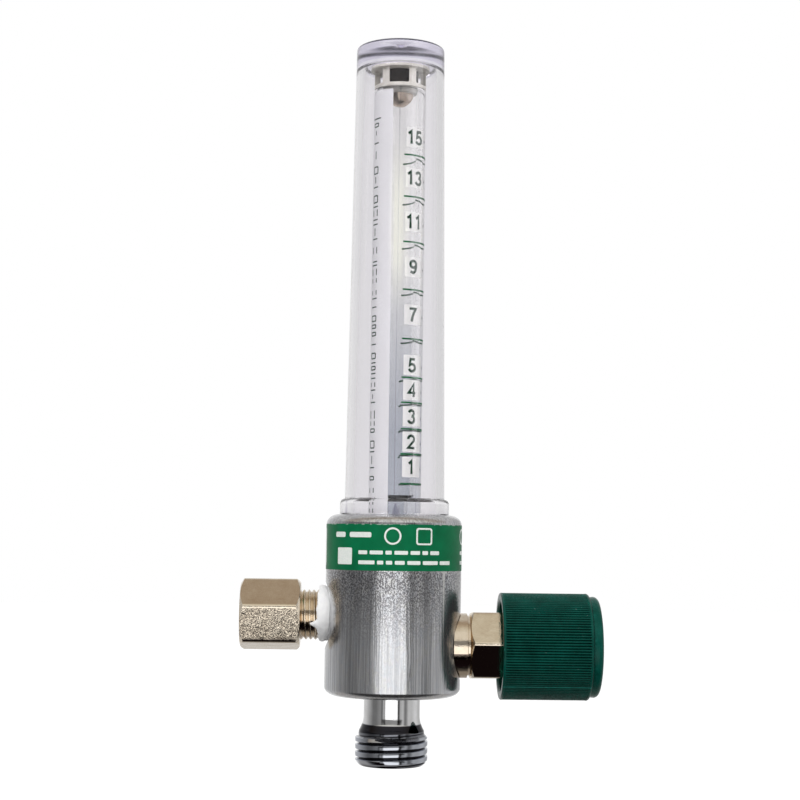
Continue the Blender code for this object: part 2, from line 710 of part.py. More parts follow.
def make_valve_stem():
    edge = SEAT_FLOOR + SEAT_GAP + VALVE_SEAT_THICKNESS - VALVE_SEAT_CHAMFER
    tip = SEAT_FLOOR + 2 * SLIDE_GAP
    edge_radius = ORIFICE_RADIUS - SLIDE_GAP
    tip_radius = edge_radius - NEEDLE_SLOPE * (edge - tip)
    taper_end = edge + (NEEDLE_SHANK_RADIUS - edge_radius) / NEEDLE_SLOPE
    floor = STEM_RADIUS - STEM_GROOVE_DEPTH
    groove_low, groove_high = groove(STEM_GROOVE, floor, BONNET_BORE_RADIUS)
    outer = [
        (tip, tip_radius),
        (taper_end, NEEDLE_SHANK_RADIUS),
        (STEM_THREAD_START, NEEDLE_SHANK_RADIUS),
        (STEM_THREAD_START, STEM_THREAD_RADIUS - STEM_THREAD_CHAMFER),
        (STEM_THREAD_START + STEM_THREAD_CHAMFER, STEM_THREAD_RADIUS),
        (STEM_THREAD_END, STEM_THREAD_RADIUS),
        (STEM_THREAD_END, STEM_RADIUS),
        (groove_low, STEM_RADIUS),
        (groove_low, floor),
        (groove_high, floor),
        (groove_high, STEM_RADIUS),
        (STEM_SHOULDER, STEM_RADIUS),
        (STEM_SHOULDER, STEM_TAIL_RADIUS),
        (STEM_END, STEM_TAIL_RADIUS),
    ]
    hole = SCREW_SHANK_RADIUS + SLIDE_GAP
    hole_end = SCREW_END - BORE_END_GAP
    inner = [(hole_end - STEM_HOLE_POINT, 0.0), (hole_end, hole), (STEM_END, hole)]
    as_part(lathe("valve_stem", outer, inner, SMALL_STEPS), BRASS, KNOB_TURN)
    ring = seal_ring("stem_o_ring", STEM_GROOVE, floor, BONNET_BORE_RADIUS, SMALL_STEPS)
    as_part(ring, BLACK_RUBBER, STEM_SLIDE)


def make_knob():
    bead = rounded(
        (KNOB_FACE + KNOB_BEAD, KNOB_RADIUS - KNOB_BEAD), KNOB_BEAD, KNOB_BEAD, -90, 0
    )
    shoulder = rounded(
        (KNOB_END - KNOB_SHOULDER_LENGTH, KNOB_RADIUS - KNOB_SHOULDER_DEPTH),
        KNOB_SHOULDER_DEPTH,
        KNOB_SHOULDER_LENGTH,
        0,
        90,
    )
    hub_bore = STEM_TAIL_RADIUS + SLIDE_GAP
    inner = [
        (KNOB_FACE, KNOB_RECESS_RADIUS + KNOB_RECESS_CHAMFER),
        (KNOB_FACE + KNOB_RECESS_CHAMFER, KNOB_RECESS_RADIUS),
        (KNOB_WEB_START, KNOB_RECESS_RADIUS),
        (KNOB_WEB_START, KNOB_HUB_RADIUS),
        (KNOB_HUB_START, KNOB_HUB_RADIUS),
        (KNOB_HUB_START, hub_bore),
        (KNOB_WEB_END, hub_bore),
        (KNOB_WEB_END, KNOB_RECESS_RADIUS),
        (KNOB_END, KNOB_RECESS_RADIUS),
    ]
    knob = lathe("knob", bead + shoulder, inner, LARGE_STEPS)
    as_part(knob, GREEN_PLASTIC, KNOB_TURN)
    grooves = rib_grooves(
        "cut_knob_ribs", KNOB_FACE + KNOB_PLAIN_BAND, KNOB_END - KNOB_SHOULDER_LENGTH
    )
    as_cutter(grooves, KNOB_TURN)
    cut(knob, grooves)
    keep_flats_flat(knob)


def make_knob_cap():
    skirt_low = CAP_SEAT - CAP_SKIRT_LENGTH
    skirt = KNOB_RECESS_RADIUS - SLIDE_GAP
    inside = skirt - CAP_SKIRT_WALL
    edge = rounded((CAP_END - CAP_EDGE, CAP_RADIUS - CAP_EDGE), CAP_EDGE, CAP_EDGE, 0, 90)
    outer = [(skirt_low, skirt), (CAP_SEAT, skirt), (CAP_SEAT, CAP_RADIUS)] + edge
    web = CAP_END - CAP_WEB
    inner = [(skirt_low, inside), (web, inside), (web, 0.0)]
    as_part(lathe("knob_cap", outer, inner), GREEN_PLASTIC, KNOB_TURN)


def make_knob_fastening():
    hole = SCREW_SHANK_RADIUS + SLIDE_GAP
    high = WASHER_START + WASHER_THICKNESS
    washer = lathe(
        "knob_washer",
        [(WASHER_START, WASHER_RADIUS), (high, WASHER_RADIUS)],
        [(WASHER_START, hole), (high, hole)],
        SMALL_STEPS,
    )
    as_part(washer, STEEL, KNOB_TURN)
    head_top = SCREW_SEAT + SCREW_HEAD_HEIGHT
    head = rounded(
        (head_top - SCREW_HEAD_ROUND, SCREW_HEAD_RADIUS - SCREW_HEAD_ROUND),
        SCREW_HEAD_ROUND,
        SCREW_HEAD_ROUND,
        0,
        90,
    )
    outer = [
        (SCREW_END, SCREW_SHANK_RADIUS),
        (SCREW_SEAT, SCREW_SHANK_RADIUS),
        (SCREW_SEAT, SCREW_HEAD_RADIUS),
    ]
    screw = lathe("knob_screw", outer + head, steps=SMALL_STEPS)
    as_part(screw, STEEL, KNOB_TURN)
    slot = box(
        "cut_screw_slot",
        (2 * (SCREW_HEAD_RADIUS + CUT_OVERRUN), SCREW_SLOT_WIDTH, 2 * SCREW_SLOT_DEPTH),
        (0, 0, head_top),
    )
    as_cutter(slot, KNOB_TURN)
    cut(screw, slot)


def make_outlet_nipple():
    bore = NIPPLE_SPIGOT_RADIUS + SLIDE_GAP
    floor = NIPPLE_SPIGOT_RADIUS - OUTLET_GROOVE_DEPTH
    groove_low, groove_high = groove(NIPPLE_GROOVE, floor, bore)
    outer = [
        (NIPPLE_END, NIPPLE_THREAD_RADIUS - NIPPLE_CHAMFER_DEPTH),
        (NIPPLE_THREAD_LOW, NIPPLE_THREAD_RADIUS),
        (NIPPLE_THREAD_TOP, NIPPLE_THREAD_RADIUS),
        (NIPPLE_FLARE, NIPPLE_NECK_RADIUS),
        (NIPPLE_SHOULDER, NIPPLE_NECK_RADIUS),
        (NIPPLE_SHOULDER, NIPPLE_SPIGOT_RADIUS),
        (groove_low, NIPPLE_SPIGOT_RADIUS),
        (groove_low, floor),
        (groove_high, floor),
        (groove_high, NIPPLE_SPIGOT_RADIUS),
        (NIPPLE_SPIGOT_TOP, NIPPLE_SPIGOT_RADIUS),
    ]
    mouth_top = NIPPLE_END + NIPPLE_MOUTH_DEPTH
    taper_top = mouth_top + NIPPLE_MOUTH_RADIUS - NIPPLE_BORE_RADIUS
    inner = [
        (NIPPLE_END, NIPPLE_MOUTH_RADIUS),
        (mouth_top, NIPPLE_MOUTH_RADIUS),
        (taper_top, NIPPLE_BORE_RADIUS),
        (NIPPLE_SPIGOT_TOP, NIPPLE_BORE_RADIUS),
    ]
    as_part(lathe("outlet_nipple", outer, inner), POLISHED_CHROME, BODY_AXIS)
    ring = seal_ring("outlet_o_ring", NIPPLE_GROOVE, floor, bore)
    as_part(ring, BLACK_RUBBER, BODY_AXIS)


def make_outer_cover():
    floor = COVER_FOOT_RADIUS - COVER_GROOVE_DEPTH
    groove_low, groove_high = groove(COVER_GROOVE, floor, COVER_BORE_RADIUS)
    flange_top = COVER_SHOULDER + COVER_FLANGE_HEIGHT
    flange = rounded(
        (flange_top - COVER_FLANGE_ROUND, COVER_FOOT_RADIUS),
        COVER_FLANGE_RADIUS - COVER_FOOT_RADIUS,
        COVER_FLANGE_ROUND,
        0,
        90,
    )
    edge = rounded(
        (COVER_TOP - COVER_EDGE, COVER_TOP_RADIUS - COVER_EDGE), COVER_EDGE, COVER_EDGE, 0, 90
    )
    outer = [
        (COVER_SPIGOT_END, COVER_FOOT_RADIUS),
        (groove_low, COVER_FOOT_RADIUS),
        (groove_low, floor),
        (groove_high, floor),
        (groove_high, COVER_FOOT_RADIUS),
        (COVER_SHOULDER, COVER_FOOT_RADIUS),
        (COVER_SHOULDER, COVER_FLANGE_RADIUS),
    ]
    gate = [(COVER_TOP, GATE_RADIUS), (COVER_TOP - GATE_DEPTH, GATE_RADIUS - GATE_DEPTH)]
    inside_top = COVER_TOP_RADIUS - COVER_WALL
    fillet = rounded(
        (COVER_CEILING - COVER_FILLET, inside_top - COVER_FILLET),
        COVER_FILLET,
        COVER_FILLET,
        0,
        90,
    )
    inner = [(COVER_SPIGOT_END, COVER_FOOT_RADIUS - COVER_WALL)] + fillet
    inner.append((COVER_CEILING, 0.0))
    cover = lathe("outer_cover", outer + flange + edge + gate, inner, LARGE_STEPS)
    as_part(cover, CLEAR_PLASTIC, BODY_AXIS)
    ring = seal_ring("cover_o_ring", COVER_GROOVE, floor, COVER_BORE_RADIUS, LARGE_STEPS)
    as_part(ring, BLACK_RUBBER, BODY_AXIS)


def make_flow_tube():
    floor = TUBE_RADIUS - TUBE_GROOVE_DEPTH
    groove_low, groove_high = groove(TUBE_GROOVE, floor, TUBE_SOCKET_RADIUS)
    outer = [
        (TUBE_END, TUBE_RADIUS),
        (groove_low, TUBE_RADIUS),
        (groove_low, floor),
        (groove_high, floor),
        (groove_high, TUBE_RADIUS),
        (TUBE_TOP, TUBE_RADIUS),
    ]
    inner = [
        (TUBE_END, TUBE_FOOT_BORE),
        (TUBE_SEAT_HEIGHT, TUBE_FOOT_BORE),
        (TUBE_SEAT_HEIGHT + (TUBE_BORE_LOW - TUBE_FOOT_BORE) / TUBE_SEAT_SLOPE, TUBE_BORE_LOW),
        (TUBE_TOP, TUBE_BORE_HIGH),
    ]
    as_part(lathe("flow_tube", outer, inner), CLEAR_PLASTIC, BODY_AXIS)
    ring = seal_ring("flow_tube_o_ring", TUBE_GROOVE, floor, TUBE_SOCKET_RADIUS)
    as_part(ring, BLACK_RUBBER, BODY_AXIS)


def make_ball_stop():
    spigot_low = STOP_LOW - STOP_SPIGOT_LENGTH
    spigot = TUBE_BORE_HIGH - SLIDE_GAP
    outer = [
        (spigot_low, spigot),
        (STOP_LOW, spigot),
        (STOP_LOW, TUBE_RADIUS),
        (STOP_WINDOW_TOP, TUBE_RADIUS),
        (STOP_WINDOW_TOP, STOP_FLANGE_RADIUS),
        (STOP_TOP, STOP_FLANGE_RADIUS),
    ]
    chamber = TUBE_RADIUS - STOP_WALL
    inner = [
        (spigot_low, STOP_MOUTH_RADIUS),
        (STOP_LOW, STOP_MOUTH_RADIUS),
        (STOP_WINDOW_LOW, STOP_HOLE_RADIUS),
        (STOP_WINDOW_LOW, chamber),
        (STOP_WINDOW_TOP, chamber),
        (STOP_WINDOW_TOP, 0.0),
    ]
    stop = lathe("ball_stop", outer, inner)
    as_part(stop, CREAM_PLASTIC, BODY_AXIS)
    height = STOP_WINDOW_HEIGHT - 2 * SEAT_GAP
    middle = (STOP_WINDOW_LOW + STOP_WINDOW_TOP) / 2
    # One slot through the whole stop makes two windows
    for index in range(STOP_WINDOWS // 2):
        turn = math.radians(90 - STOP_WINDOW_TURN) + 2 * math.pi * index / STOP_WINDOWS
        slot = box(
            f"cut_stop_windows_{index + 1}",
            (2 * (TUBE_RADIUS + CUT_OVERRUN), STOP_WINDOW_WIDTH, height),
            (0, 0, middle),
            turn,
        )
        as_cutter(slot, BODY_AXIS)
        cut(stop, slot)


def make_float_ball():
    mesh = bpy.data.meshes.new("float_ball")
    shape = bmesh.new()
    bmesh.ops.create_uvsphere(
        shape, u_segments=BALL_STEPS, v_segments=BALL_STEPS // 2, radius=BALL_RADIUS
    )
    shape.to_mesh(mesh)
    shape.free()
    mesh.shade_smooth()
    as_part(bpy.data.objects.new("float_ball", mesh), STEEL, FLOAT_RISE)


clear_scene()
PARTS = new_collection("medical_flowmeter")
CUTTERS = new_collection("medical_flowmeter_cutters", hidden=True)

SATIN_NICKEL = new_material("satin_nickel", (0.55, 0.56, 0.57), 0.3, 1.0)
BRIGHT_NICKEL = new_material("bright_nickel", (0.66, 0.58, 0.47), 0.22, 1.0)
POLISHED_CHROME = new_material("polished_chrome", (0.72, 0.72, 0.73), 0.08, 1.0)
BRASS = new_material("brass", (0.76, 0.58, 0.3), 0.3, 1.0)
STEEL = new_material("steel", (0.6, 0.56, 0.5), 0.18, 1.0)
SINTERED_BRONZE = new_material("sintered_bronze", (0.5, 0.33, 0.18), 0.7, 1.0)
GREEN_PLASTIC = new_material("green_plastic", (0.0, 0.07, 0.045), 0.4)
GREEN_LABEL = new_material("green_label", (0.0, 0.15, 0.06), 0.45)
WHITE_TAPE = new_material("white_tape", (0.88, 0.88, 0.88), 0.6)
CREAM_PLASTIC = new_material("cream_plastic", (0.72, 0.67, 0.55), 0.5)
CLEAR_PLASTIC = new_material("clear_plastic", (0.86, 0.85, 0.92), 0.05, alpha=0.25)
BLACK_RUBBER = new_material("black_rubber", (0.02, 0.02, 0.02), 0.7)

FLOWMETER = new_empty("flowmeter_origin")
BODY_AXIS = new_empty("body_axis", FLOWMETER, (BODY_X, 0, 0))
INLET_AXIS = new_empty("inlet_axis", FLOWMETER, (BODY_X, 0, 0), along_x=True)
VALVE_AXIS = new_empty("valve_axis", FLOWMETER, (BODY_X, 0, -VALVE_DROP), along_x=True)
STEM_SLIDE = new_empty("stem_slide", VALVE_AXIS)
KNOB_TURN = new_empty("knob_turn", STEM_SLIDE)
FLOAT_RISE = new_empty("float_rise", BODY_AXIS, (0, 0, BALL_HIGH))

make_valve_body()
make_body_label()
make_inlet_adapter()
make_thread_tape()
make_bonnet()
make_valve_seat()
make_valve_stem()
make_knob()
make_knob_cap()
make_knob_fastening()
make_outlet_nipple()
make_outer_cover()
make_flow_tube()
make_ball_stop()
make_float_ball()
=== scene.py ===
import math
import random

import bmesh
import bpy
from mathutils import Matrix, Vector, noise


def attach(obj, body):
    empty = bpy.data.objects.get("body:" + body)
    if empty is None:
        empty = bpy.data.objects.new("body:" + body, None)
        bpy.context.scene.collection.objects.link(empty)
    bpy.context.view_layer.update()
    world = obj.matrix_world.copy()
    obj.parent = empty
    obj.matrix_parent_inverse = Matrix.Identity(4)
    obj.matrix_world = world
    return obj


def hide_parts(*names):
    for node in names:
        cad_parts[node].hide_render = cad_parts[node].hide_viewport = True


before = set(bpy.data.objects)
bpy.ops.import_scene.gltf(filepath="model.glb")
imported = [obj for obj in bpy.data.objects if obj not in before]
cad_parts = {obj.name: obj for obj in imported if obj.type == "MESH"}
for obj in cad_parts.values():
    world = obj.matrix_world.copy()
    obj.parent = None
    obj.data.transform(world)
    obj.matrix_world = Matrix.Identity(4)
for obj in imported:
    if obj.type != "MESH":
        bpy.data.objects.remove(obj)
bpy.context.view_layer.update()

print("stage: frame loaded,", len(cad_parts), "nodes")

mm = 0.001
bodyX = 29.9  # body axis, mm from the inlet's end face
valveZ = -5.7  # valve axis below the inlet axis
labelTop = 17.85
flowAxis = ("z", bodyX, 0.0)
inletAxis = ("x", bodyX, 0.0)
valveAxis = ("x", bodyX, valveZ)
dice = random.Random(20)


# shader node helpers


def addNode(tree, kind, **values):
    node = tree.nodes.new(kind)
    for key, value in values.items():
        setattr(node, key, value)
    return node


def wire(tree, source, target):
    tree.links.new(source, target)


def feed(tree, target, value):
    # a link from another node's output, or a plain number or colour
    if isinstance(value, bpy.types.NodeSocket):
        wire(tree, value, target)
    elif isinstance(value, tuple) and target.type == "RGBA":
        target.default_value = (*value, 1.0)
    else:
        target.default_value = value


def calc(tree, operation, *values):
    node = addNode(tree, "ShaderNodeMath", operation=operation)
    for target, value in zip(node.inputs, values):
        feed(tree, target, value)
    return node.outputs[0]


def vectorCalc(tree, operation, *values, scale=None):
    node = addNode(tree, "ShaderNodeVectorMath", operation=operation)
    for target, value in zip(node.inputs, values):
        feed(tree, target, value)
    if scale is not None:
        feed(tree, node.inputs["Scale"], scale)
    return node.outputs["Value" if operation == "LENGTH" else "Vector"]


def partsOf(tree, vector):
    node = addNode(tree, "ShaderNodeSeparateXYZ")
    wire(tree, vector, node.inputs[0])
    return node.outputs[0], node.outputs[1], node.outputs[2]


def objectPlace(tree):
    return addNode(tree, "ShaderNodeTexCoord").outputs["Object"]


def noiseOf(tree, vector, scale, detail=2.0):
    node = addNode(tree, "ShaderNodeTexNoise")
    for label, value in (("Vector", vector), ("Scale", scale), ("Detail", detail)):
        feed(tree, node.inputs[label], value)
    return node.outputs[0]


def rangeOf(tree, value, fromLow=0.0, fromHigh=1.0, toLow=0.0, toHigh=1.0, kind="LINEAR"):
    node = addNode(tree, "ShaderNodeMapRange", interpolation_type=kind)
    feed(tree, node.inputs["Value"], value)
    feed(tree, node.inputs["From Min"], fromLow)
    feed(tree, node.inputs["From Max"], fromHigh)
    feed(tree, node.inputs["To Min"], toLow)
    feed(tree, node.inputs["To Max"], toHigh)
    return node.outputs[0]


def rampOf(tree, value, stops):
    node = addNode(tree, "ShaderNodeValToRGB")
    ramp = node.color_ramp
    ramp.interpolation = "LINEAR"
    while len(ramp.elements) < len(stops):
        ramp.elements.new(0.5)
    for element, (position, colour) in zip(ramp.elements, stops):
        element.position = position
        element.color = (*colour, 1.0) if isinstance(colour, tuple) else (colour, colour, colour, 1.0)
    wire(tree, value, node.inputs[0])
    return node.outputs[0]


def mixColours(tree, mask, first, second, blend="MIX"):
    node = addNode(tree, "ShaderNodeMix", data_type="RGBA", blend_type=blend)
    feed(tree, node.inputs["Factor"], mask)
    feed(tree, node.inputs[6], first)
    feed(tree, node.inputs[7], second)
    return node.outputs[2]


def mixShaders(tree, share, first, second):
    node = addNode(tree, "ShaderNodeMixShader")
    for target, source in zip(node.inputs, (share, first, second)):
        wire(tree, source, target)
    return node.outputs[0]


def placeGroup(tree, group, **values):
    node = addNode(tree, "ShaderNodeGroup", node_tree=group)
    for label, value in values.items():
        feed(tree, node.inputs[label], value)
    return node.outputs[0]


def newGroup(name, inputs, output):
    # the group, what comes in, and the socket that takes what goes out
    group = bpy.data.node_groups.new(name, "ShaderNodeTree")
    for label, kind, value in inputs:
        socket = group.interface.new_socket(name=label, in_out="INPUT", socket_type=kind)
        socket.default_value = value
    label, kind = output
    group.interface.new_socket(name=label, in_out="OUTPUT", socket_type=kind)
    start = addNode(group, "NodeGroupInput")
    end = addNode(group, "NodeGroupOutput")
    return group, start.outputs, end.inputs[label]


def layOut(tree):
    # columns counted back from the last node, so that a tree reads from left to right
    columns = {}

    def goBack(node, column):
        if columns.get(node.name, -1) >= column:
            return
        columns[node.name] = column
        for socket in node.inputs:
            for link in socket.links:
                goBack(link.from_node, column + 1)

    for node in tree.nodes:
        if not any(socket.links for socket in node.outputs):
            goBack(node, 0)
    filled = {}
    for name, column in columns.items():
        filled[column] = filled.get(column, -1) + 1
        tree.nodes[name].location = (-260 * column, -220 * filled[column])


# camera, floor and light

cameraSet = {
    "place": (22.588, -329.908, 15.233),  # mm
    "pitch": 4.75,
    "yaw": -1.408,
    "roll": -0.783,
    "lens": 74.77,
    "sensor": 36.0,
    "clip": (0.01, 20.0),
}

lightSet = {
    "skyLevel": 0.54,  # what diffuse surfaces see
    "softboxLevel": 1.45,  # brightest card that the metal mirrors
    "keyStrength": 1.6,
    "keyTurn": -35.0,  # degrees from the front towards the knob
    "keyHeight": 45.0,
    "fillStrength": 0.9,
    "fillTurn": 50.0,
    "fillHeight": 20.0,
    "softness": 35.0,
    "lampAway": 0.6,
    "cardsInGlass": 0.22,  # share of the cards that rays straight through clear plastic show
    "cardsInMirror": 0.45,  # and those that a ball or wall mirrored on the way
    "floorDrop": -0.12,
    "floorRadius": 3.0,
    "floorGlow": 0.62,
    "floorShade": 0.45,
}

studioWalls = [  # degrees from the front towards the knob, level of the card that stands there
    (-180, 0.6), (-160, 0.6), (-150, 0.44), (-125, 0.38), (-101, 0.22), (-82, 0.1), (-66, 0.1),
    (-52, 0.16), (-45, 0.16), (-40, 0.04), (-36, 0.3), (-31, 0.22), (-28.5, 0.25), (-24.5, 1.0),
    (20.5, 1.0), (24, 0.04), (29, 0.04), (33, 0.26), (46, 0.34), (54, 0.12), (60, 0.14), (72, 0.36),
    (88, 0.34), (108, 0.42), (120, 0.42), (135, 0.32), (157, 0.36), (166, 0.62), (180, 0.6),
]
studioCeiling = [  # from behind the part, at 0, to the camera's side, at 1
    (0.0, (0.42, 0.42, 0.42)),
    (0.36, (0.4, 0.39, 0.38)),
    (0.47, (0.27, 0.23, 0.19)),
    (0.53, (0.25, 0.21, 0.17)),
    (0.6, (0.33, 0.29, 0.24)),
    (0.68, (0.42, 0.4, 0.35)),
    (0.86, (0.56, 0.55, 0.52)),
]
studioGround = [
    (0.0, (0.35, 0.34, 0.33)),
    (0.4, (0.3, 0.29, 0.28)),
    (0.52, (0.05, 0.05, 0.05)),
    (0.6, (0.005, 0.003, 0.004)),
    (0.92, (0.003, 0.002, 0.002)),
]
studioHeights = {  # degrees above the level
    "frontCardTop": (-0.6, 2.2),  # the front card ends here, and the dark wall over it shows
    "ceiling": (21.0, 26.0),
    "ground": (-30.0, -36.0),
}
overCard = {"darker": 0.82, "front": (0.68, 0.82)}  # how much, and how squarely in front


def makeCamera():
    turn = Matrix.Rotation(math.radians(cameraSet["yaw"]), 3, "Z")
    turn = turn @ Matrix.Rotation(math.radians(cameraSet["pitch"]), 3, "X")
    turn = turn @ Matrix.Rotation(math.radians(cameraSet["roll"]), 3, "Y")
    right, forward, up = turn.col[0], turn.col[1], turn.col[2]
    pose = Matrix((right, up, -forward)).transposed().to_4x4()
    pose.translation = Vector(cameraSet["place"]) * mm
    lens = bpy.data.cameras.new("photoCamera")
    lens.lens = cameraSet["lens"]
    lens.sensor_width = cameraSet["sensor"]
    lens.clip_start, lens.clip_end = cameraSet["clip"]
    camera = bpy.data.objects.new("photoCamera", lens)
    camera.matrix_world = pose
    bpy.context.scene.collection.objects.link(camera)
    bpy.context.scene.camera = camera


def makeStudioGroup():
    # what polished metal mirrors in each direction: white and dark cards round the object
    group, start, end = newGroup(
        "studioCards", [("Direction", "NodeSocketVector", (0, -1, 0))], ("Color", "NodeSocketColor")
    )
    across, deep, height = partsOf(group, vectorCalc(group, "NORMALIZE", start["Direction"]))
    front = calc(group, "MULTIPLY", deep, -1.0)
    turn = calc(group, "ARCTAN2", across, front)
    share = calc(group, "MULTIPLY_ADD", turn, 0.5 / math.pi, 0.5)
    walls = rampOf(group, share, [((angle + 180) / 360, level) for angle, level in studioWalls])
    nearness = calc(group, "MULTIPLY_ADD", front, 0.5, 0.5)
    ceiling = rampOf(group, nearness, studioCeiling)
    ground = rampOf(group, nearness, studioGround)
    zones = []
    for name in ("frontCardTop", "ceiling", "ground"):
        low, high = (math.sin(math.radians(angle)) for angle in studioHeights[name])
        zones.append(rangeOf(group, height, low, high, kind="SMOOTHSTEP"))
    overTop, up, down = zones
    ahead = rangeOf(group, front, *overCard["front"], kind="SMOOTHSTEP")
    dark = calc(group, "MULTIPLY", calc(group, "MULTIPLY", overTop, ahead), -overCard["darker"])
    walls = vectorCalc(group, "SCALE", walls, scale=calc(group, "ADD", dark, 1.0))
    wire(group, mixColours(group, down, mixColours(group, up, walls, ceiling), ground), end)
    layOut(group)
    return group


def seenDirectly(tree, path):
    # camera rays, and rays through glass that haven't met a dull surface on the way
    early = calc(tree, "LESS_THAN", path["Diffuse Depth"], 0.5)
    through = calc(tree, "MULTIPLY", path["Is Transmission Ray"], early)
    return calc(tree, "MAXIMUM", path["Is Camera Ray"], through)


def whiteWithCards(tree, path, cards):
    # through glass the cards still show faintly, which gives clear plastic its grey edges
    mirrored = calc(tree, "GREATER_THAN", path["Glossy Depth"], 0.5)
    share = calc(tree, "MULTIPLY", mirrored, lightSet["cardsInMirror"])
    share = calc(tree, "MAXIMUM", share, lightSet["cardsInGlass"])
    share = calc(tree, "MULTIPLY", path["Is Transmission Ray"], share)
    brighter = vectorCalc(tree, "SCALE", cards, scale=lightSet["softboxLevel"])
    return mixColours(tree, share, (1, 1, 1), brighter)


def glowing(tree, kind, colour, strength):
    node = addNode(tree, kind)
    feed(tree, node.inputs["Color"], colour)
    feed(tree, node.inputs["Strength"], strength)
    return node.outputs[0]


def showStudio(tree, studio, direction, kind, plain, level, end, under=None):
    # dull surfaces are lit by the plain shader, metal mirrors the cards and the camera sees white
    path = addNode(tree, "ShaderNodeLightPath").outputs
    cards = placeGroup(tree, studio, Direction=direction)
    mirrored = glowing(tree, kind, cards, lightSet["softboxLevel"])
    white = glowing(tree, kind, whiteWithCards(tree, path, cards), level)
    if under:
        both = addNode(tree, "ShaderNodeAddShader")
        wire(tree, under, both.inputs[0])
        wire(tree, white, both.inputs[1])
        white = both.outputs[0]
    glossy = mixShaders(tree, path["Is Glossy Ray"], plain, mirrored)
    out = addNode(tree, end)
    wire(tree, mixShaders(tree, seenDirectly(tree, path), glossy, white), out.inputs["Surface"])
    layOut(tree)


def makeWorld(studio):
    world = bpy.data.worlds.new("softStudio")
    world.use_nodes = True
    tree = world.node_tree
    tree.nodes.clear()
    direction = addNode(tree, "ShaderNodeTexCoord").outputs["Generated"]
    sky = glowing(tree, "ShaderNodeBackground", (1, 1, 1), lightSet["skyLevel"])
    showStudio(tree, studio, direction, "ShaderNodeBackground", sky, 1.0, "ShaderNodeOutputWorld")
    bpy.context.scene.world = world


def makeFloor(studio):
    mesh = bpy.data.meshes.new("studioFloor")
    shape = bmesh.new()
    bmesh.ops.create_circle(shape, cap_ends=True, segments=96, radius=lightSet["floorRadius"])
    shape.to_mesh(mesh)
    shape.free()
    floor = bpy.data.objects.new("studioFloor", mesh)
    floor.location = (bodyX * mm, 0, lightSet["floorDrop"])
    bpy.context.scene.collection.objects.link(floor)
    material = bpy.data.materials.new("paleFloor")
    material.use_nodes = True
    tree = material.node_tree
    tree.nodes.clear()
    spot = addNode(tree, "ShaderNodeNewGeometry").outputs["Position"]
    fromPart = vectorCalc(tree, "SUBTRACT", spot, (bodyX * mm, 0, 0))
    pale = addNode(tree, "ShaderNodeBsdfDiffuse")
    feed(tree, pale.inputs["Color"], (lightSet["floorShade"],) * 3)
    pale = pale.outputs[0]
    end = "ShaderNodeOutputMaterial"
    showStudio(tree, studio, fromPart, "ShaderNodeEmission", pale, lightSet["floorGlow"], end, pale)
    mesh.materials.append(material)


def makeLamp(name, strength, turn, height):
    lamp = bpy.data.lights.new(name, "SUN")
    lamp.energy = strength
    lamp.angle = math.radians(lightSet["softness"])
    obj = bpy.data.objects.new(name, lamp)
    turn, height = math.radians(turn), math.radians(height)
    level = math.cos(height)
    towards = Vector((math.sin(turn) * level, -math.cos(turn) * level, math.sin(height)))
    obj.rotation_euler = towards.to_track_quat("Z", "Y").to_euler()
    obj.location = towards * lightSet["lampAway"]
    obj.visible_glossy = False  # the cards stand for it in the metal
    bpy.context.scene.collection.objects.link(obj)


def makeStudio():
    bpy.context.scene.view_settings.view_transform = "Standard"
    makeCamera()
    studio = makeStudioGroup()
    makeWorld(studio)
    makeFloor(studio)
    makeLamp("softKey", lightSet["keyStrength"], lightSet["keyTurn"], lightSet["keyHeight"])
    makeLamp("softFill", lightSet["fillStrength"], lightSet["fillTurn"], lightSet["fillHeight"])
    print("stage: camera, floor and light")


makeStudio()


# effects that several materials share


def makeGrainGroup():
    # noise in the piece's own metres; Stretch under 1 draws it out along that axis
    inputs = [
        ("Per mm", "NodeSocketFloat", 4.0),
        ("Stretch", "NodeSocketVector", (1, 1, 1)),
        ("Detail", "NodeSocketFloat", 2.0),
        ("Low", "NodeSocketFloat", 0.3),
        ("High", "NodeSocketFloat", 0.7),
    ]
    group, start, end = newGroup("surfaceGrain", inputs, ("Value", "NodeSocketFloat"))
    stretched = vectorCalc(group, "MULTIPLY", objectPlace(group), start["Stretch"])
    perMetre = calc(group, "MULTIPLY", start["Per mm"], 1000.0)
    cloud = noiseOf(group, stretched, perMetre, start["Detail"])
    wire(group, rangeOf(group, cloud, start["Low"], start["High"]), end)
    layOut(group)
    return group


def makeWearGroup(flat=0.52, cloudScale=1800.0):
    # 1 along outer edges, broken up by a fine noise
    inputs = [("Reach", "NodeSocketFloat", 0.06), ("Break up", "NodeSocketFloat", 0.5)]
    group, start, end = newGroup("edgeWear", inputs, ("Mask", "NodeSocketFloat"))
    pointed = addNode(group, "ShaderNodeNewGeometry").outputs["Pointiness"]
    edge = rangeOf(group, pointed, flat, calc(group, "ADD", start["Reach"], flat))
    cloud = noiseOf(group, objectPlace(group), cloudScale)
    gaps = calc(group, "MULTIPLY", cloud, start["Break up"])
    worn = calc(group, "SUBTRACT", edge, gaps)
    wire(group, calc(group, "MAXIMUM", worn, 0.0), end)
    layOut(group)
    return group


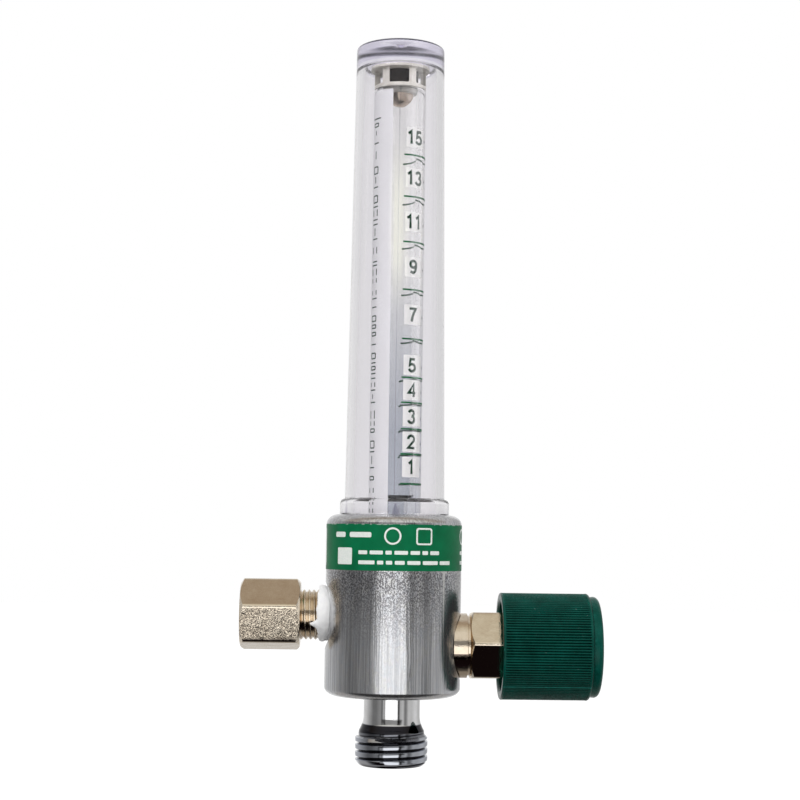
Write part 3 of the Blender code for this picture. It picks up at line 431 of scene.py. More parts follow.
def makeDustGroup(leftOut=0.72):
    # specks that lie on faces that look up
    inputs = [("Specks per mm", "NodeSocketFloat", 1.5), ("Cover", "NodeSocketFloat", 0.3)]
    group, start, end = newGroup("looseDust", inputs, ("Mask", "NodeSocketFloat"))
    normal = addNode(group, "ShaderNodeNewGeometry").outputs["Normal"]
    lying = rangeOf(group, partsOf(group, normal)[2], -0.2)
    cells = addNode(group, "ShaderNodeTexVoronoi")
    wire(group, objectPlace(group), cells.inputs["Vector"])
    wire(group, calc(group, "MULTIPLY", start["Specks per mm"], 1000.0), cells.inputs["Scale"])
    size = calc(group, "MULTIPLY", start["Cover"], 0.5)
    paintedDarkSpeck = calc(group, "LESS_THAN", cells.outputs["Distance"], size)
    pick = addNode(group, "ShaderNodeSeparateColor")
    wire(group, cells.outputs["Color"], pick.inputs[0])
    few = calc(group, "GREATER_THAN", pick.outputs[0], leftOut)
    both = calc(group, "MULTIPLY", paintedDarkSpeck, few)
    wire(group, calc(group, "MULTIPLY", both, lying), end)
    layOut(group)
    return group


def makeHeightGroup():
    # 0 at one height of the part and 1 at the other, both in mm
    inputs = [("From", "NodeSocketFloat", 0.0), ("To", "NodeSocketFloat", 1.0)]
    group, start, end = newGroup("heightZone", inputs, ("Mask", "NodeSocketFloat"))
    height = calc(group, "MULTIPLY", partsOf(group, objectPlace(group))[2], 1000.0)
    wire(group, rangeOf(group, height, start["From"], start["To"]), end)
    layOut(group)
    return group


def makeAxisGroup():
    # distance in mm from a line; Across is 1 on the two axes that it is measured along
    inputs = [
        ("Across", "NodeSocketVector", (1, 1, 0)),
        ("Offset", "NodeSocketVector", (-bodyX * mm, 0, 0)),
    ]
    group, start, end = newGroup("axisDistance", inputs, ("Distance", "NodeSocketFloat"))
    flat = vectorCalc(group, "MULTIPLY_ADD", objectPlace(group), start["Across"], start["Offset"])
    wire(group, calc(group, "MULTIPLY", vectorCalc(group, "LENGTH", flat), 1000.0), end)
    layOut(group)
    return group


grainGroup = makeGrainGroup()
wearGroup = makeWearGroup()
dustGroup = makeDustGroup()
heightGroup = makeHeightGroup()
axisGroup = makeAxisGroup()


def grain(tree, perMm, detail=2.0, stretch=(1, 1, 1), low=0.3, high=0.7):
    values = {"Per mm": perMm, "Detail": detail, "Stretch": stretch, "Low": low, "High": high}
    return placeGroup(tree, grainGroup, **values)


def edgeWear(tree, reach, breakUp=0.5):
    return placeGroup(tree, wearGroup, **{"Reach": reach, "Break up": breakUp})


def heightZone(tree, start, stop):
    return placeGroup(tree, heightGroup, From=start, To=stop)


def bumpFrom(tree, height, depth, normal=None):
    # depth is the real height of the relief in mm
    node = addNode(tree, "ShaderNodeBump")
    node.inputs["Strength"].default_value = 1.0
    node.inputs["Distance"].default_value = depth * mm
    wire(tree, height, node.inputs["Height"])
    if normal:
        wire(tree, normal, node.inputs["Normal"])
    return node.outputs[0]


# materials

finishes = {}


def newFinish(name):
    material = bpy.data.materials.new(name)
    material.use_nodes = True
    tree = material.node_tree
    return material, tree, tree.nodes["Principled BSDF"].inputs


def dress(finish, tone, polish, rough, relief, **plain):
    # polish is the mask that moves the roughness between its two values
    material, tree, sockets = finish
    wire(tree, tone, sockets["Base Color"])
    wire(tree, rangeOf(tree, polish, 0.0, 1.0, *rough), sockets["Roughness"])
    wire(tree, relief, sockets["Normal"])
    for label, value in plain.items():
        sockets[label].default_value = value
    layOut(tree)
    return material


def satinNickel():
    # brushed up and down; pitted under the label, where the dark pits are painted darker reflection, and
    # clean and a little oily lower down
    values = {
        "dull": (0.5, 0.505, 0.525),
        "bright": (0.7, 0.705, 0.72),
        "pitShade": (0.1, 0.095, 0.11),
        "pitShadeShare": 0.85,
        "pitShadeHeights": ((-6.0, 6.5), (12.0, 16.0)),  # they come in over the first and go over the second
        "stain": (0.5, 0.48, 0.46),
        "stainShare": 0.2,
        "worn": (0.8, 0.79, 0.77),
        "oil": [
            (0.2, (1, 1, 1)), (0.42, (0.93, 0.97, 1.0)), (0.55, (1, 0.97, 1)),
            (0.68, (1, 1, 0.93)), (0.8, (1, 1, 1)),
        ],
        "rough": (0.12, 0.2),
        "metallic": 0.93,
    }
    finish = newFinish("satinNickel")
    tree = finish[1]
    lines = grain(tree, 3.4, 2.0, (1, 1, 0.02), 0.36, 0.6)
    fine = grain(tree, 8.0, 2.0, (1, 1, 0.05))
    specks = grain(tree, 4.4, 2.0, (1, 1, 0.7), 0.44, 0.56)
    stains = grain(tree, 0.22, 4.0)
    oil = grain(tree, 0.45, 2.0, (1, 1, 0.5), 0.35, 0.65)
    comeIn, goOut = values["pitShadeHeights"]
    zone = calc(tree, "SUBTRACT", heightZone(tree, *comeIn), heightZone(tree, *goOut))
    # dark pits in a band of heights: painted darker reflection on the body
    pitShaded = calc(tree, "MULTIPLY", specks, zone)
    tone = mixColours(tree, lines, values["dull"], values["bright"])
    tone = mixColours(tree, calc(tree, "MULTIPLY", pitShaded, values["pitShadeShare"]), tone, values["pitShade"])
    tone = mixColours(tree, calc(tree, "MULTIPLY", stains, values["stainShare"]), tone, values["stain"])
    tone = mixColours(tree, fine, tone, rampOf(tree, oil, values["oil"]), "MULTIPLY")
    tone = mixColours(tree, edgeWear(tree, 0.05), tone, values["worn"])
    relief = bumpFrom(tree, pitShaded, 0.006, bumpFrom(tree, lines, 0.008))
    return dress(finish, tone, specks, values["rough"], relief, Metallic=values["metallic"])


def brightNickel():
    # tumbled and plated: nearly a mirror, with a fine pebble that breaks the reflections up, and painted dark
    # reflection and painted shade on the faces that look down
    values = {
        "dull": (0.72, 0.6, 0.46),
        "bright": (0.84, 0.74, 0.6),
        "worn": (0.95, 0.86, 0.7),
        "paintedDarkSpeck": (0.05, 0.035, 0.03),
        "paintedDarkSpeckShare": 0.85,
        "paintedDarkFaces": (-0.36, -0.2),  # how far down a face looks, as its normal's z, for the painted dark reflection specks
        "paintedDarkFoot": (-4.15, -4.75),  # painted dark reflection, solid below these heights
        # painted shade on the faces that look down
        "under": (0.22, 0.17, 0.12),
        "paintedUnderShadeShare": 0.6,
        "paintedUnderShadeFaces": -0.6,
        "rough": (0.05, 0.12),
    }
    finish = newFinish("brightNickel")
    tree = finish[1]
    pebble = grain(tree, 6.0, 0.5, low=0.32, high=0.68)
    waves = grain(tree, 0.5)
    rings = grain(tree, 3.0, 2.0, (1, 0.04, 0.04))
    specks = grain(tree, 5.5, 2.0, low=0.44, high=0.55)
    tone = mixColours(tree, waves, values["dull"], values["bright"])
    tone = mixColours(tree, edgeWear(tree, 0.08), tone, values["worn"])
    normal = addNode(tree, "ShaderNodeNewGeometry").outputs["Normal"]
    facing = partsOf(tree, normal)[2]
    # faces that look a little down get dark specks and a dark foot: painted dark reflection
    low, high = values["paintedDarkFaces"]
    face = calc(tree, "GREATER_THAN", facing, low)
    face = calc(tree, "MULTIPLY", face, calc(tree, "LESS_THAN", facing, high))
    paintedDarkSpecks = calc(tree, "MAXIMUM", specks, heightZone(tree, *values["paintedDarkFoot"]))
    paintedDarkSpecks = calc(tree, "MULTIPLY", calc(tree, "MULTIPLY", face, paintedDarkSpecks), values["paintedDarkSpeckShare"])
    tone = mixColours(tree, paintedDarkSpecks, tone, values["paintedDarkSpeck"])
    # faces that look down are darkened: painted shade
    under = calc(tree, "LESS_THAN", facing, values["paintedUnderShadeFaces"])
    tone = mixColours(tree, calc(tree, "MULTIPLY", under, values["paintedUnderShadeShare"]), tone, values["under"])
    relief = bumpFrom(tree, rings, 0.004, bumpFrom(tree, waves, 0.02))
    return dress(finish, tone, pebble, values["rough"], bumpFrom(tree, pebble, 0.006, relief), Metallic=1.0)


def polishedChrome():
    # a clean neck above painted shade in the thread roots and the flare's foot, and thread flanks painted a
    # little darker as a darker reflection
    values = {
        "dull": (0.82, 0.815, 0.81),
        "bright": (0.95, 0.95, 0.96),
        "worn": (0.9, 0.89, 0.86),
        "paintedDarkThreads": (0.52, 0.54, 0.59),
        "grime": (0.028, 0.028, 0.034),
        "grimeSpread": [  # cm from the axis
            (0.0, 0.0), (0.555, 0.0), (0.56, 1.0), (0.642, 1.0), (0.645, 0.55), (0.66, 0.7), (0.69, 0.0),
        ],
        "neckFoot": (-21.05, -20.85),
        "rough": (0.04, 0.1),
    }
    finish = newFinish("polishedChrome")
    tree = finish[1]
    rings = grain(tree, 4.0, 2.0, (0.05, 0.05, 1))
    smears = grain(tree, 0.4, 4.0)
    tone = mixColours(tree, smears, values["dull"], values["bright"])
    tone = mixColours(tree, edgeWear(tree, 0.1), tone, values["worn"])
    away = calc(tree, "MULTIPLY", placeGroup(tree, axisGroup), 0.1)
    neck = heightZone(tree, *values["neckFoot"])
    # painted shade, by distance from the axis: dark in the thread roots and the flare's foot, none on the
    # neck
    rootShaded = calc(tree, "SUBTRACT", rampOf(tree, away, values["grimeSpread"]), neck)
    rootShaded.node.use_clamp = True
    # below the neck the metal is painted darker: painted darker reflection on the threads
    tone = mixColours(tree, neck, values["paintedDarkThreads"], tone)
    tone = mixColours(tree, rootShaded, tone, values["grime"])
    return dress(finish, tone, smears, values["rough"], bumpFrom(tree, rings, 0.003), Metallic=1.0)


def ballSteel():
    # smooth and warm, with faint smears
    values = {"dull": (0.42, 0.335, 0.27), "bright": (0.64, 0.545, 0.46), "rough": (0.1, 0.18)}
    finish = newFinish("ballSteel")
    tree = finish[1]
    smears = grain(tree, 0.9, 4.0)
    tone = mixColours(tree, smears, values["dull"], values["bright"])
    relief = bumpFrom(tree, grain(tree, 6.0, 1.0), 0.003)
    return dress(finish, tone, smears, values["rough"], relief, Metallic=1.0)


def plainMetal(name, bright, dull, rough, perMm=5.0, depth=0.008, stretch=(1, 1, 1)):
    finish = newFinish(name)
    tree = finish[1]
    lines = grain(tree, perMm, 2.0, stretch)
    tone = mixColours(tree, edgeWear(tree, 0.08), mixColours(tree, lines, dull, bright), bright)
    return dress(finish, tone, lines, rough, bumpFrom(tree, lines, depth), Metallic=1.0)


def greenPlastic():
    # moulded and slightly sparked, with pale scuffs, rib crests rubbed and painted lighter as a highlight,
    # and dark grooves of painted shade
    values = {
        "deep": (0.0, 0.044, 0.032),
        "light": (0.001, 0.075, 0.056),
        "rubbedHighlight": (0.015, 0.2, 0.16),
        "dust": (0.3, 0.36, 0.34),
        "groove": (0.25, 0.3, 0.3),
        "grooveShadeRadii": (10.0, 10.15, 10.38),  # from the knob's axis: foot, all painted shade, clear
        "rough": (0.2, 0.32),
    }
    finish = newFinish("greenPlastic")
    tree = finish[1]
    cloud = grain(tree, 0.35, 4.0)
    spark = grain(tree, 7.0, 1.0)
    dust = placeGroup(tree, dustGroup, **{"Specks per mm": 1.1, "Cover": 0.16})
    tone = mixColours(tree, cloud, values["deep"], values["light"])
    # rib crests lighter: rubbed wear and a painted highlight
    tone = mixColours(tree, edgeWear(tree, 0.05, 0.9), tone, values["rubbedHighlight"])
    tone = mixColours(tree, dust, tone, values["dust"])
    foot, dark, clear = values["grooveShadeRadii"]
    away = placeGroup(tree, axisGroup, Across=(0, 1, 1), Offset=(0, 0, -valveZ * mm))
    # the grooves between the ribs are darkened: painted shade
    groove = calc(tree, "MULTIPLY", rangeOf(tree, away, clear, dark), calc(tree, "GREATER_THAN", away, foot))
    tone = mixColours(tree, groove, tone, values["groove"], "MULTIPLY")
    relief = bumpFrom(tree, spark, 0.006)
    return dress(finish, tone, spark, values["rough"], relief, **{"Specular IOR Level": 0.14})


def greenFilm():
    # printed film, chipped along its top edge
    values = {
        "deep": (0.0, 0.12, 0.045),
        "light": (0.0, 0.165, 0.062),
        "chip": (0.42, 0.5, 0.45),
        "chipReach": 0.22,
        "rough": (0.32, 0.46),
    }
    finish = newFinish("greenFilm")
    tree = finish[1]
    cloud = grain(tree, 0.3, 5.0)
    pulp = grain(tree, 5.0)
    chips = grain(tree, 0.8, 5.0, low=0.55, high=0.6)
    chipped = calc(tree, "MULTIPLY", chips, heightZone(tree, labelTop - values["chipReach"], labelTop))
    tone = mixColours(tree, chipped, mixColours(tree, cloud, values["deep"], values["light"]), values["chip"])
    relief = bumpFrom(tree, pulp, 0.003)
    return dress(finish, tone, pulp, values["rough"], relief, **{"Specular IOR Level": 0.15})


def printInk(name, light, deep):
    # screen printed colour, a little uneven in thickness
    finish = newFinish(name)
    tree = finish[1]
    cloud = grain(tree, 3.0, 3.0)
    tone = mixColours(tree, cloud, deep, light)
    relief = bumpFrom(tree, cloud, 0.002)
    return dress(finish, tone, cloud, (0.44, 0.56), relief, **{"Specular IOR Level": 0.1})


def sealingTape():
    # stretched film: fine ridges round the thread and little folds
    values = {
        "deep": (0.93, 0.93, 0.94),
        "light": (1.0, 1.0, 0.995),
        "inner": (0.7, 0.7, 0.71),  # the inner turns stand in the outer turns' shade
        "innerStart": (-12.55, -12.3),  # from the body axis
        "glow": 0.15,
        "glowReach": 0.0004,
    }
    finish = newFinish("sealingTape")
    tree = finish[1]
    ridges = grain(tree, 4.0, 3.0, (1, 0.12, 0.12))
    folds = grain(tree, 1.1, 3.0)
    start, stop = ((bodyX + along) * mm for along in values["innerStart"])
    inner = rangeOf(tree, partsOf(tree, objectPlace(tree))[0], start, stop)
    tone = mixColours(tree, folds, values["deep"], values["light"])
    tone = mixColours(tree, inner, tone, values["inner"], "MULTIPLY")
    relief = bumpFrom(tree, ridges, 0.02, bumpFrom(tree, folds, 0.05))
    under = {"Subsurface Weight": values["glow"], "Subsurface Radius": (values["glowReach"],) * 3}
    return dress(finish, tone, ridges, (0.42, 0.6), relief, **under)


def creamPlastic():
    values = {"deep": (0.72, 0.69, 0.62), "light": (0.86, 0.83, 0.77), "rough": (0.38, 0.52)}
    finish = newFinish("creamPlastic")
    tree = finish[1]
    spark = grain(tree, 6.0, 1.0)
    tone = mixColours(tree, grain(tree, 0.6, 4.0), values["deep"], values["light"])
    return dress(finish, tone, spark, values["rough"], bumpFrom(tree, spark, 0.004))


def sealRubber():
    values = {"deep": (0.012, 0.012, 0.013), "bloom": (0.035, 0.034, 0.036), "rough": (0.5, 0.7)}
    finish = newFinish("sealRubber")
    tree = finish[1]
    bloom = grain(tree, 1.5, 4.0)
    tone = mixColours(tree, bloom, values["deep"], values["bloom"])
    return dress(finish, tone, bloom, values["rough"], bumpFrom(tree, bloom, 0.01))


clearCoverSet = {
    "tint": ((0.88, 0.87, 0.885), (0.9, 0.89, 0.91)),
    "edge": (0.3, 0.27, 0.36),
    "shadow": (0.965, 0.96, 0.975),
    "heightTintSpan": (109.7, 109.9),  # the thick end wall
    "heightTint": (0.74, 0.72, 0.83),
    "frost": 0.14,
    "waviness": 0.0015,
    "index": 1.52,
    "rim": (8.4, 113.36),  # a painted dark reflection line at the top, outside this radius and over this height
    "rimTone": (0.03, 0.03, 0.04),
    "paintedHighlightWidth": (2.2, 1.0),  # a painted highlight down the middle, to each side of the axis
    "paintedHighlightHeights": ((60.0, 72.0), (84.0, 96.0)),
    "paintedHighlightTone": (1.0, 0.995, 0.965),
}

clearTubeSet = {
    "tint": ((0.97, 0.97, 0.96), (0.99, 0.99, 0.985)),
    "edge": (0.4, 0.4, 0.44),
    "shadow": (0.965, 0.96, 0.975),
    # darker towards the bottom
    "heightTintSpan": (70.0, 36.0),
    "heightTint": (0.76, 0.785, 0.83),
    "frost": 0.0,
    "waviness": 0.001,
    "index": 1.36,
}


def paintedRimAndHighlight(tree, tone, values):
    # the painted dark reflection line round the cover's top edge, and the painted highlight down its middle
    across, _, height = partsOf(tree, objectPlace(tree))
    radius, low = values["rim"]
    # painted dark reflection round the top edge
    ring = calc(tree, "GREATER_THAN", placeGroup(tree, axisGroup), radius)
    ring = calc(tree, "MULTIPLY", ring, calc(tree, "GREATER_THAN", height, low * mm))
    tone = mixColours(tree, ring, tone, values["rimTone"], "MULTIPLY")
    beside = calc(tree, "ABSOLUTE", calc(tree, "SUBTRACT", across, bodyX * mm))
    middle = rangeOf(tree, beside, *(width * mm for width in values["paintedHighlightWidth"]))
    comeIn, goOut = values["paintedHighlightHeights"]
    zone = calc(tree, "SUBTRACT", heightZone(tree, *comeIn), heightZone(tree, *goOut))
    # a warm painted highlight down the middle of the cover
    return mixColours(tree, calc(tree, "MULTIPLY", middle, zone), tone, values["paintedHighlightTone"])


def clearPlastic(name, values):
    # glass that lets the lamps through, so that what it covers is lit
    material, tree, sockets = newFinish(name)
    cloud = grain(tree, 0.12, 3.0, (1, 1, 0.25))
    haze = grain(tree, 0.8, 4.0)
    zone = heightZone(tree, *values["heightTintSpan"])
    tone = mixColours(tree, cloud, *values["tint"])
    # pointed edges get a dark tint: painted dark refraction along the edges
    tone = mixColours(tree, edgeWear(tree, 0.1, 0.3), tone, values["edge"])
    tone = mixColours(tree, zone, tone, values["heightTint"], "MULTIPLY")
    if "rim" in values:
        tone = paintedRimAndHighlight(tree, tone, values)
    wire(tree, tone, sockets["Base Color"])
    clean = calc(tree, "MULTIPLY", haze, 0.02)
    wire(tree, calc(tree, "MULTIPLY_ADD", zone, values["frost"], clean), sockets["Roughness"])
    wire(tree, bumpFrom(tree, cloud, values["waviness"]), sockets["Normal"])
    sockets["Transmission Weight"].default_value = 1.0
    sockets["IOR"].default_value = values["index"]
    path = addNode(tree, "ShaderNodeLightPath").outputs
    through = addNode(tree, "ShaderNodeBsdfTransparent")
    feed(tree, through.inputs["Color"], values["shadow"])
    glass = tree.nodes["Principled BSDF"].outputs[0]
    both = mixShaders(tree, path["Is Shadow Ray"], glass, through.outputs[0])
    wire(tree, both, tree.nodes["Material Output"].inputs["Surface"])
    layOut(tree)
    return material


def makeFinishes():
    finishes.update(
        body=satinNickel(),
        fitting=brightNickel(),
        nipple=polishedChrome(),
        ball=ballSteel(),
        knob=greenPlastic(),
        label=greenFilm(),
        tape=sealingTape(),
        stop=creamPlastic(),
        seal=sealRubber(),
        cover=clearPlastic("clearCover", clearCoverSet),
        tube=clearPlastic("clearTube", clearTubeSet),
        stripInk=printInk("stripWhite", (0.92, 0.92, 0.935), (0.87, 0.87, 0.89)),
        patchInk=printInk("patchWhite", (0.94, 0.94, 0.92), (0.89, 0.89, 0.87)),
        scaleInk=printInk("scaleGreen", (0.0005, 0.042, 0.018), (0.0, 0.024, 0.01)),
        tickInk=printInk("tickGreen", (0.002, 0.14, 0.045), (0.001, 0.09, 0.03)),
        # dark sleeve that paints the shade inside the ball stop
        bumper=printInk("stopShadeDark", (0.02, 0.012, 0.01), (0.008, 0.005, 0.005)),
        labelInk=printInk("labelWhite", (0.86, 0.88, 0.85), (0.74, 0.8, 0.75)),
        brass=plainMetal(
            "turnedBrass", (0.8, 0.62, 0.32), (0.62, 0.45, 0.2), (0.2, 0.34), stretch=(1, 0.05, 0.05)
        ),
        screw=plainMetal("screwSteel", (0.62, 0.61, 0.6), (0.42, 0.41, 0.4), (0.25, 0.4)),
        filter=plainMetal("sinteredBronze", (0.6, 0.4, 0.22), (0.28, 0.17, 0.09), (0.5, 0.8), 7.0, 0.05),
    )
    print("stage: materials,", len(finishes))


makeFinishes()


# mesh helpers, in mm round an axis


def around(axis, along, radius, turn):
    # z axis: turn from the front towards the knob. x axis: turn from straight up towards the front.
    kind, x, z = axis
    if kind == "z":
        return (x + radius * math.sin(turn), -radius * math.cos(turn), along)
    return (x + along, -radius * math.sin(turn), z + radius * math.cos(turn))


def evenTurns(count):
    return [2 * math.pi * step / count for step in range(count)]


def bend(cu, cv, ru, rv, start, stop, steps=14):
    # part of an ellipse, from its first axis towards its second
    points = []
    for step in range(steps + 1):
        angle = math.radians(start + (stop - start) * step / steps)
        points.append((cu + ru * math.cos(angle), cv + rv * math.sin(angle)))
    return points


def arc(along, radius, long, deep, start, stop, steps):
    # the same as (along, radius) points; 0 degrees looks away from the axis, 90 up along it
    return [(a, r) for r, a in bend(radius, along, deep, long, start, stop, steps)]


def eased(points, steps=3):
    # (along, radius, rounding): a corner with a rounding becomes a small arc
    result = []
    for index, point in enumerate(points):
        here = Vector(point[:2])
        if len(point) < 3:
            result.append(tuple(here))
            continue
        back = Vector(points[index - 1][:2]) - here
        ahead = Vector(points[(index + 1) % len(points)][:2]) - here
        reach = min(point[2], 0.48 * back.length, 0.48 * ahead.length)
        first, last = here + back.normalized() * reach, here + ahead.normalized() * reach
        for step in range(steps + 1):
            share = step / steps
            spot = first * (1 - share) ** 2 + here * 2 * share * (1 - share) + last * share**2
            result.append(tuple(spot))
    return result


def smoothMesh(mesh, sharp):
    mesh.polygons.foreach_set("use_smooth", [True] * len(mesh.polygons))
    mesh.set_sharp_from_angle(angle=math.radians(sharp))
    mesh.update()


def finishMesh(shape, sharp=30.0, merge=0.002):
    bmesh.ops.remove_doubles(shape, verts=shape.verts, dist=merge)
    bmesh.ops.dissolve_degenerate(shape, edges=shape.edges, dist=merge / 4)
    bmesh.ops.recalc_face_normals(shape, faces=shape.faces)
    bmesh.ops.scale(shape, vec=(mm, mm, mm), verts=shape.verts)
    mesh = bpy.data.meshes.new("shape")
    shape.to_mesh(mesh)
    shape.free()
    smoothMesh(mesh, sharp)
    return mesh


def joinRings(shape, ring, following, closed=True):
    for index in range(len(ring) if closed else len(ring) - 1):
        after = (index + 1) % len(ring)
        shape.faces.new((ring[index], following[index], following[after], ring[after]))


def skinMesh(axis, turns, outlineAt, sharp=30.0, closed=True, wrap=True):
    # one closed skin from an outline of (along, radius) for every turn; a thread's last turn is its
    # first one again, one pitch on, and merges with it
    shape = bmesh.new()
    rings = []
    for turn in turns:
        rings.append([shape.verts.new(around(axis, a, max(r, 0.0), turn)) for a, r in outlineAt(turn)])
    for ring, following in zip(rings, rings[1:] + rings[:1] if wrap else rings[1:]):
        joinRings(shape, ring, following, closed)
    return finishMesh(shape, sharp)


def turnedMesh(axis, outline, steps=160, closed=True, sharp=30.0):
    return skinMesh(axis, evenTurns(steps), lambda turn: outline, sharp, closed)


def addPiece(name, mesh, finish, body="body", node=None, weighted=True):
    mesh.name = name
    piece = bpy.data.objects.new(name, mesh)
    bpy.context.scene.collection.objects.link(piece)
    mesh.materials.clear()
    mesh.materials.append(finishes[finish])
    if weighted:
        flats = piece.modifiers.new("flatsStayFlat", "WEIGHTED_NORMAL")
        flats.keep_sharp = True
    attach(piece, body)
    if node:
        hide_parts(node)


def cutMesh(mesh, cutters):
    # exact cuts, applied one after another, so the result is one plain mesh
    things = [bpy.data.objects.new("cut", each) for each in (mesh, *cutters)]
    for thing in things:
        bpy.context.scene.collection.objects.link(thing)
    for thing in things[1:]:
        boolean = things[0].modifiers.new("cut", "BOOLEAN")
        boolean.operation = "DIFFERENCE"
        boolean.solver = "EXACT"
        boolean.object = thing
    graph = bpy.context.evaluated_depsgraph_get()
    result = bpy.data.meshes.new_from_object(things[0].evaluated_get(graph))
    for thing in things:
        bpy.data.objects.remove(thing, do_unlink=True)
    smoothMesh(result, 30.0)
    return result


def threadRun(turn, low, high, values, knots, envelope=None):
    # (along, radius) points of a right-hand thread at one turn, cut off square at both ends
    pitch, crest, depth = values["pitch"], values["threadRadius"], values["threadDepth"]

    def radiusAt(along):
        phase = ((along - low) / pitch - turn / (2 * math.pi)) % 1.0
        for (p0, d0), (p1, d1) in zip(knots, knots[1:]):
            if p0 <= phase <= p1:
                share = (phase - p0) / (p1 - p0)
                level = crest - depth * (d0 + (d1 - d0) * share)
                return min(level, envelope(along)) if envelope else level
        return crest

    places = [low]
    for step in range(-1, int((high - low) / pitch) + 2):
        for phase, _ in knots[:-1]:
            along = low + pitch * (step + phase + turn / (2 * math.pi))
            places.append(min(max(along, low), high))
    return [(along, radiusAt(along)) for along in (*places, high)]


# hexagon of the inlet fitting and of the bonnet

hexSet = {
    "acrossFlats": 12.7,
    "cornerRound": 0.8,
    "chamfer": (0.8, 6.232),  # length, and radius where it starts
    "cornerStep": 0.55,  # degrees between the turns round a corner
    "cornerSteps": 10,
    "sideSteps": 8,
}


def hexTurns(roll):
    # even turns with more of them round each rounded corner
    s = hexSet
    reach = s["cornerStep"] * s["cornerSteps"]
    steps = [s["cornerStep"] * step for step in range(-s["cornerSteps"], s["cornerSteps"] + 1)]
    side = (60 - 2 * reach) / s["sideSteps"]
    steps += [reach + side * (step + 0.5) for step in range(s["sideSteps"])]
    turns = [math.radians(roll + 60 * number + step) for number in range(6) for step in steps]
    return sorted({round(turn % (2 * math.pi), 6) for turn in turns})


def hexRadius(turn, roll):
    # distance to the side of a hexagon whose corners are arcs
    across, bent = hexSet["acrossFlats"], hexSet["cornerRound"]
    away = (turn - math.radians(roll)) % math.radians(60)
    away = min(away, math.radians(60) - away)  # from the nearest corner
    flat = across / 2 / math.cos(math.radians(30) - away)
    centre = (across / 2 - bent) / math.cos(math.radians(30))
    inside = bent**2 - (centre * math.sin(away)) ** 2
    touch = math.atan2(bent * math.sin(math.radians(30)), centre + bent * math.cos(math.radians(30)))
    if inside <= 0 or away > touch:
        return flat
    return centre * math.cos(away) + math.sqrt(inside)


def hexSides(turn, roll, start, stop):
    # from the first chamfer's far end to the foot of the second
    length, low = hexSet["chamfer"]
    slope = length / (hexSet["acrossFlats"] / 2 / math.cos(math.pi / 6) - low)
    wide = hexRadius(turn, roll)
    reach = (wide - low) * slope
    return [(start + reach, wide), (stop - reach, wide), (stop, low)]


# valve body

bodySet = {
    "radius": 13.35,
    "top": 19.8,
    "foot": -15.5,
    "topEdge": (1.9, 2.5),  # height and width of the rounded edge
    "footEdge": (1.6, 2.3),
    "boreEdge": 0.2,
    "groove": (8.95, 17.87),  # for the label
    "grooveDepth": 0.12,
    # bores as (along, radius), with the rounding of a corner after them
    "topBore": [(-2.1, 0.0), (-1.2, 2.2), (7.3, 2.2), (7.3, 5.27), (12.6, 5.27), (12.6, 9.95)],
    "footBore": [(-11.0, 4.7), (-11.0, 2.6), (-3.8, 2.6), (-2.9, 0.0)],
    "inletBore": [
        (-16.0, 0.0), (-16.0, 6.5), (-11.2, 6.5, 0.25), (-11.2, 5.0), (-4.8, 5.0), (-4.8, 2.0),
        (0.0, 2.0), (0.0, 0.0),
    ],
    "valveBore": [
        (0.0, 0.0), (0.0, 1.1), (3.31, 1.1), (3.31, 2.8), (4.81, 2.8), (4.81, 4.2), (8.11, 4.2), (8.11, 5.1),
        (10.8, 5.1), (10.8, 6.8, 0.25), (16.0, 6.8), (16.0, 0.0),
    ],
    "returnBore": [(-5.7, 0.0), (-5.7, 1.0), (13.6, 1.0), (13.6, 0.0)],
    "returnAway": 6.8,  # from the body axis
}


def makeBody():
    s = bodySet
    wide, top, foot = s["radius"], s["top"], s["foot"]
    low, high = s["groove"]
    deep = wide - s["grooveDepth"]
    tall, across = s["topEdge"]
    outline = s["topBore"] + [(top, s["topBore"][-1][1], s["boreEdge"])]
    outline += arc(top - tall, wide - across, tall, across, 90, 0, 10)
    outline += [(high, wide), (high, deep), (low, deep), (low, wide), (low - 0.5, wide)]
    tall, across = s["footEdge"]
    outline += [(foot + tall + 0.5, wide)]
    outline += arc(foot + tall, wide - across, tall, across, 0, -90, 10)
    outline += [(foot, s["footBore"][0][1], s["boreEdge"])] + s["footBore"]
    cutters = [
        turnedMesh(inletAxis, eased(s["inletBore"]), 96, False),
        turnedMesh(valveAxis, eased(s["valveBore"]), 96, False),
        turnedMesh(("z", bodyX + s["returnAway"], 0.0), s["returnBore"], 32, False),
    ]
    mesh = cutMesh(turnedMesh(flowAxis, eased(outline), 192, False), cutters)
    addPiece("manifoldBody", mesh, "body", node="valve_body")
    print("stage: valve body")


makeBody()


# flat shapes bent round the flow axis: the label and all print


def wrappedSheet(name, radius, thickness, parts, finish, node=None, sink=0.004, step=0.25):
    # parts are flat, in mm round and up; sink is how far the sheet goes into what it lies on
    shape = bmesh.new()
    for number, part in enumerate(parts):
        place = min(vert.co.x for vert in part.verts) + step
        right = max(vert.co.x for vert in part.verts)
        while place < right:
            everything = part.verts[:] + part.edges[:] + part.faces[:]
            bmesh.ops.bisect_plane(part, geom=everything, plane_co=(place, 0, 0), plane_no=(1, 0, 0))
            place += step
        part.verts.index_update()
        rings = []
        for level in (radius - sink, radius + thickness + 0.0015 * (number % 3)):
            spots = [around(flowAxis, v.co.y, level, v.co.x / radius) for v in part.verts]
            rings.append([shape.verts.new(spot) for spot in spots])
        inner, outer = rings
        for face in part.faces:
            marks = [vert.index for vert in face.verts]
            shape.faces.new([outer[i] for i in marks])
            shape.faces.new([inner[i] for i in reversed(marks)])
        for edge in part.edges:
            if len(edge.link_faces) == 1:
                a, b = (vert.index for vert in edge.verts)
                shape.faces.new((inner[a], inner[b], outer[b], outer[a]))
        part.free()
    addPiece(name, finishMesh(shape, merge=0.0005), finish, node=node, weighted=False)


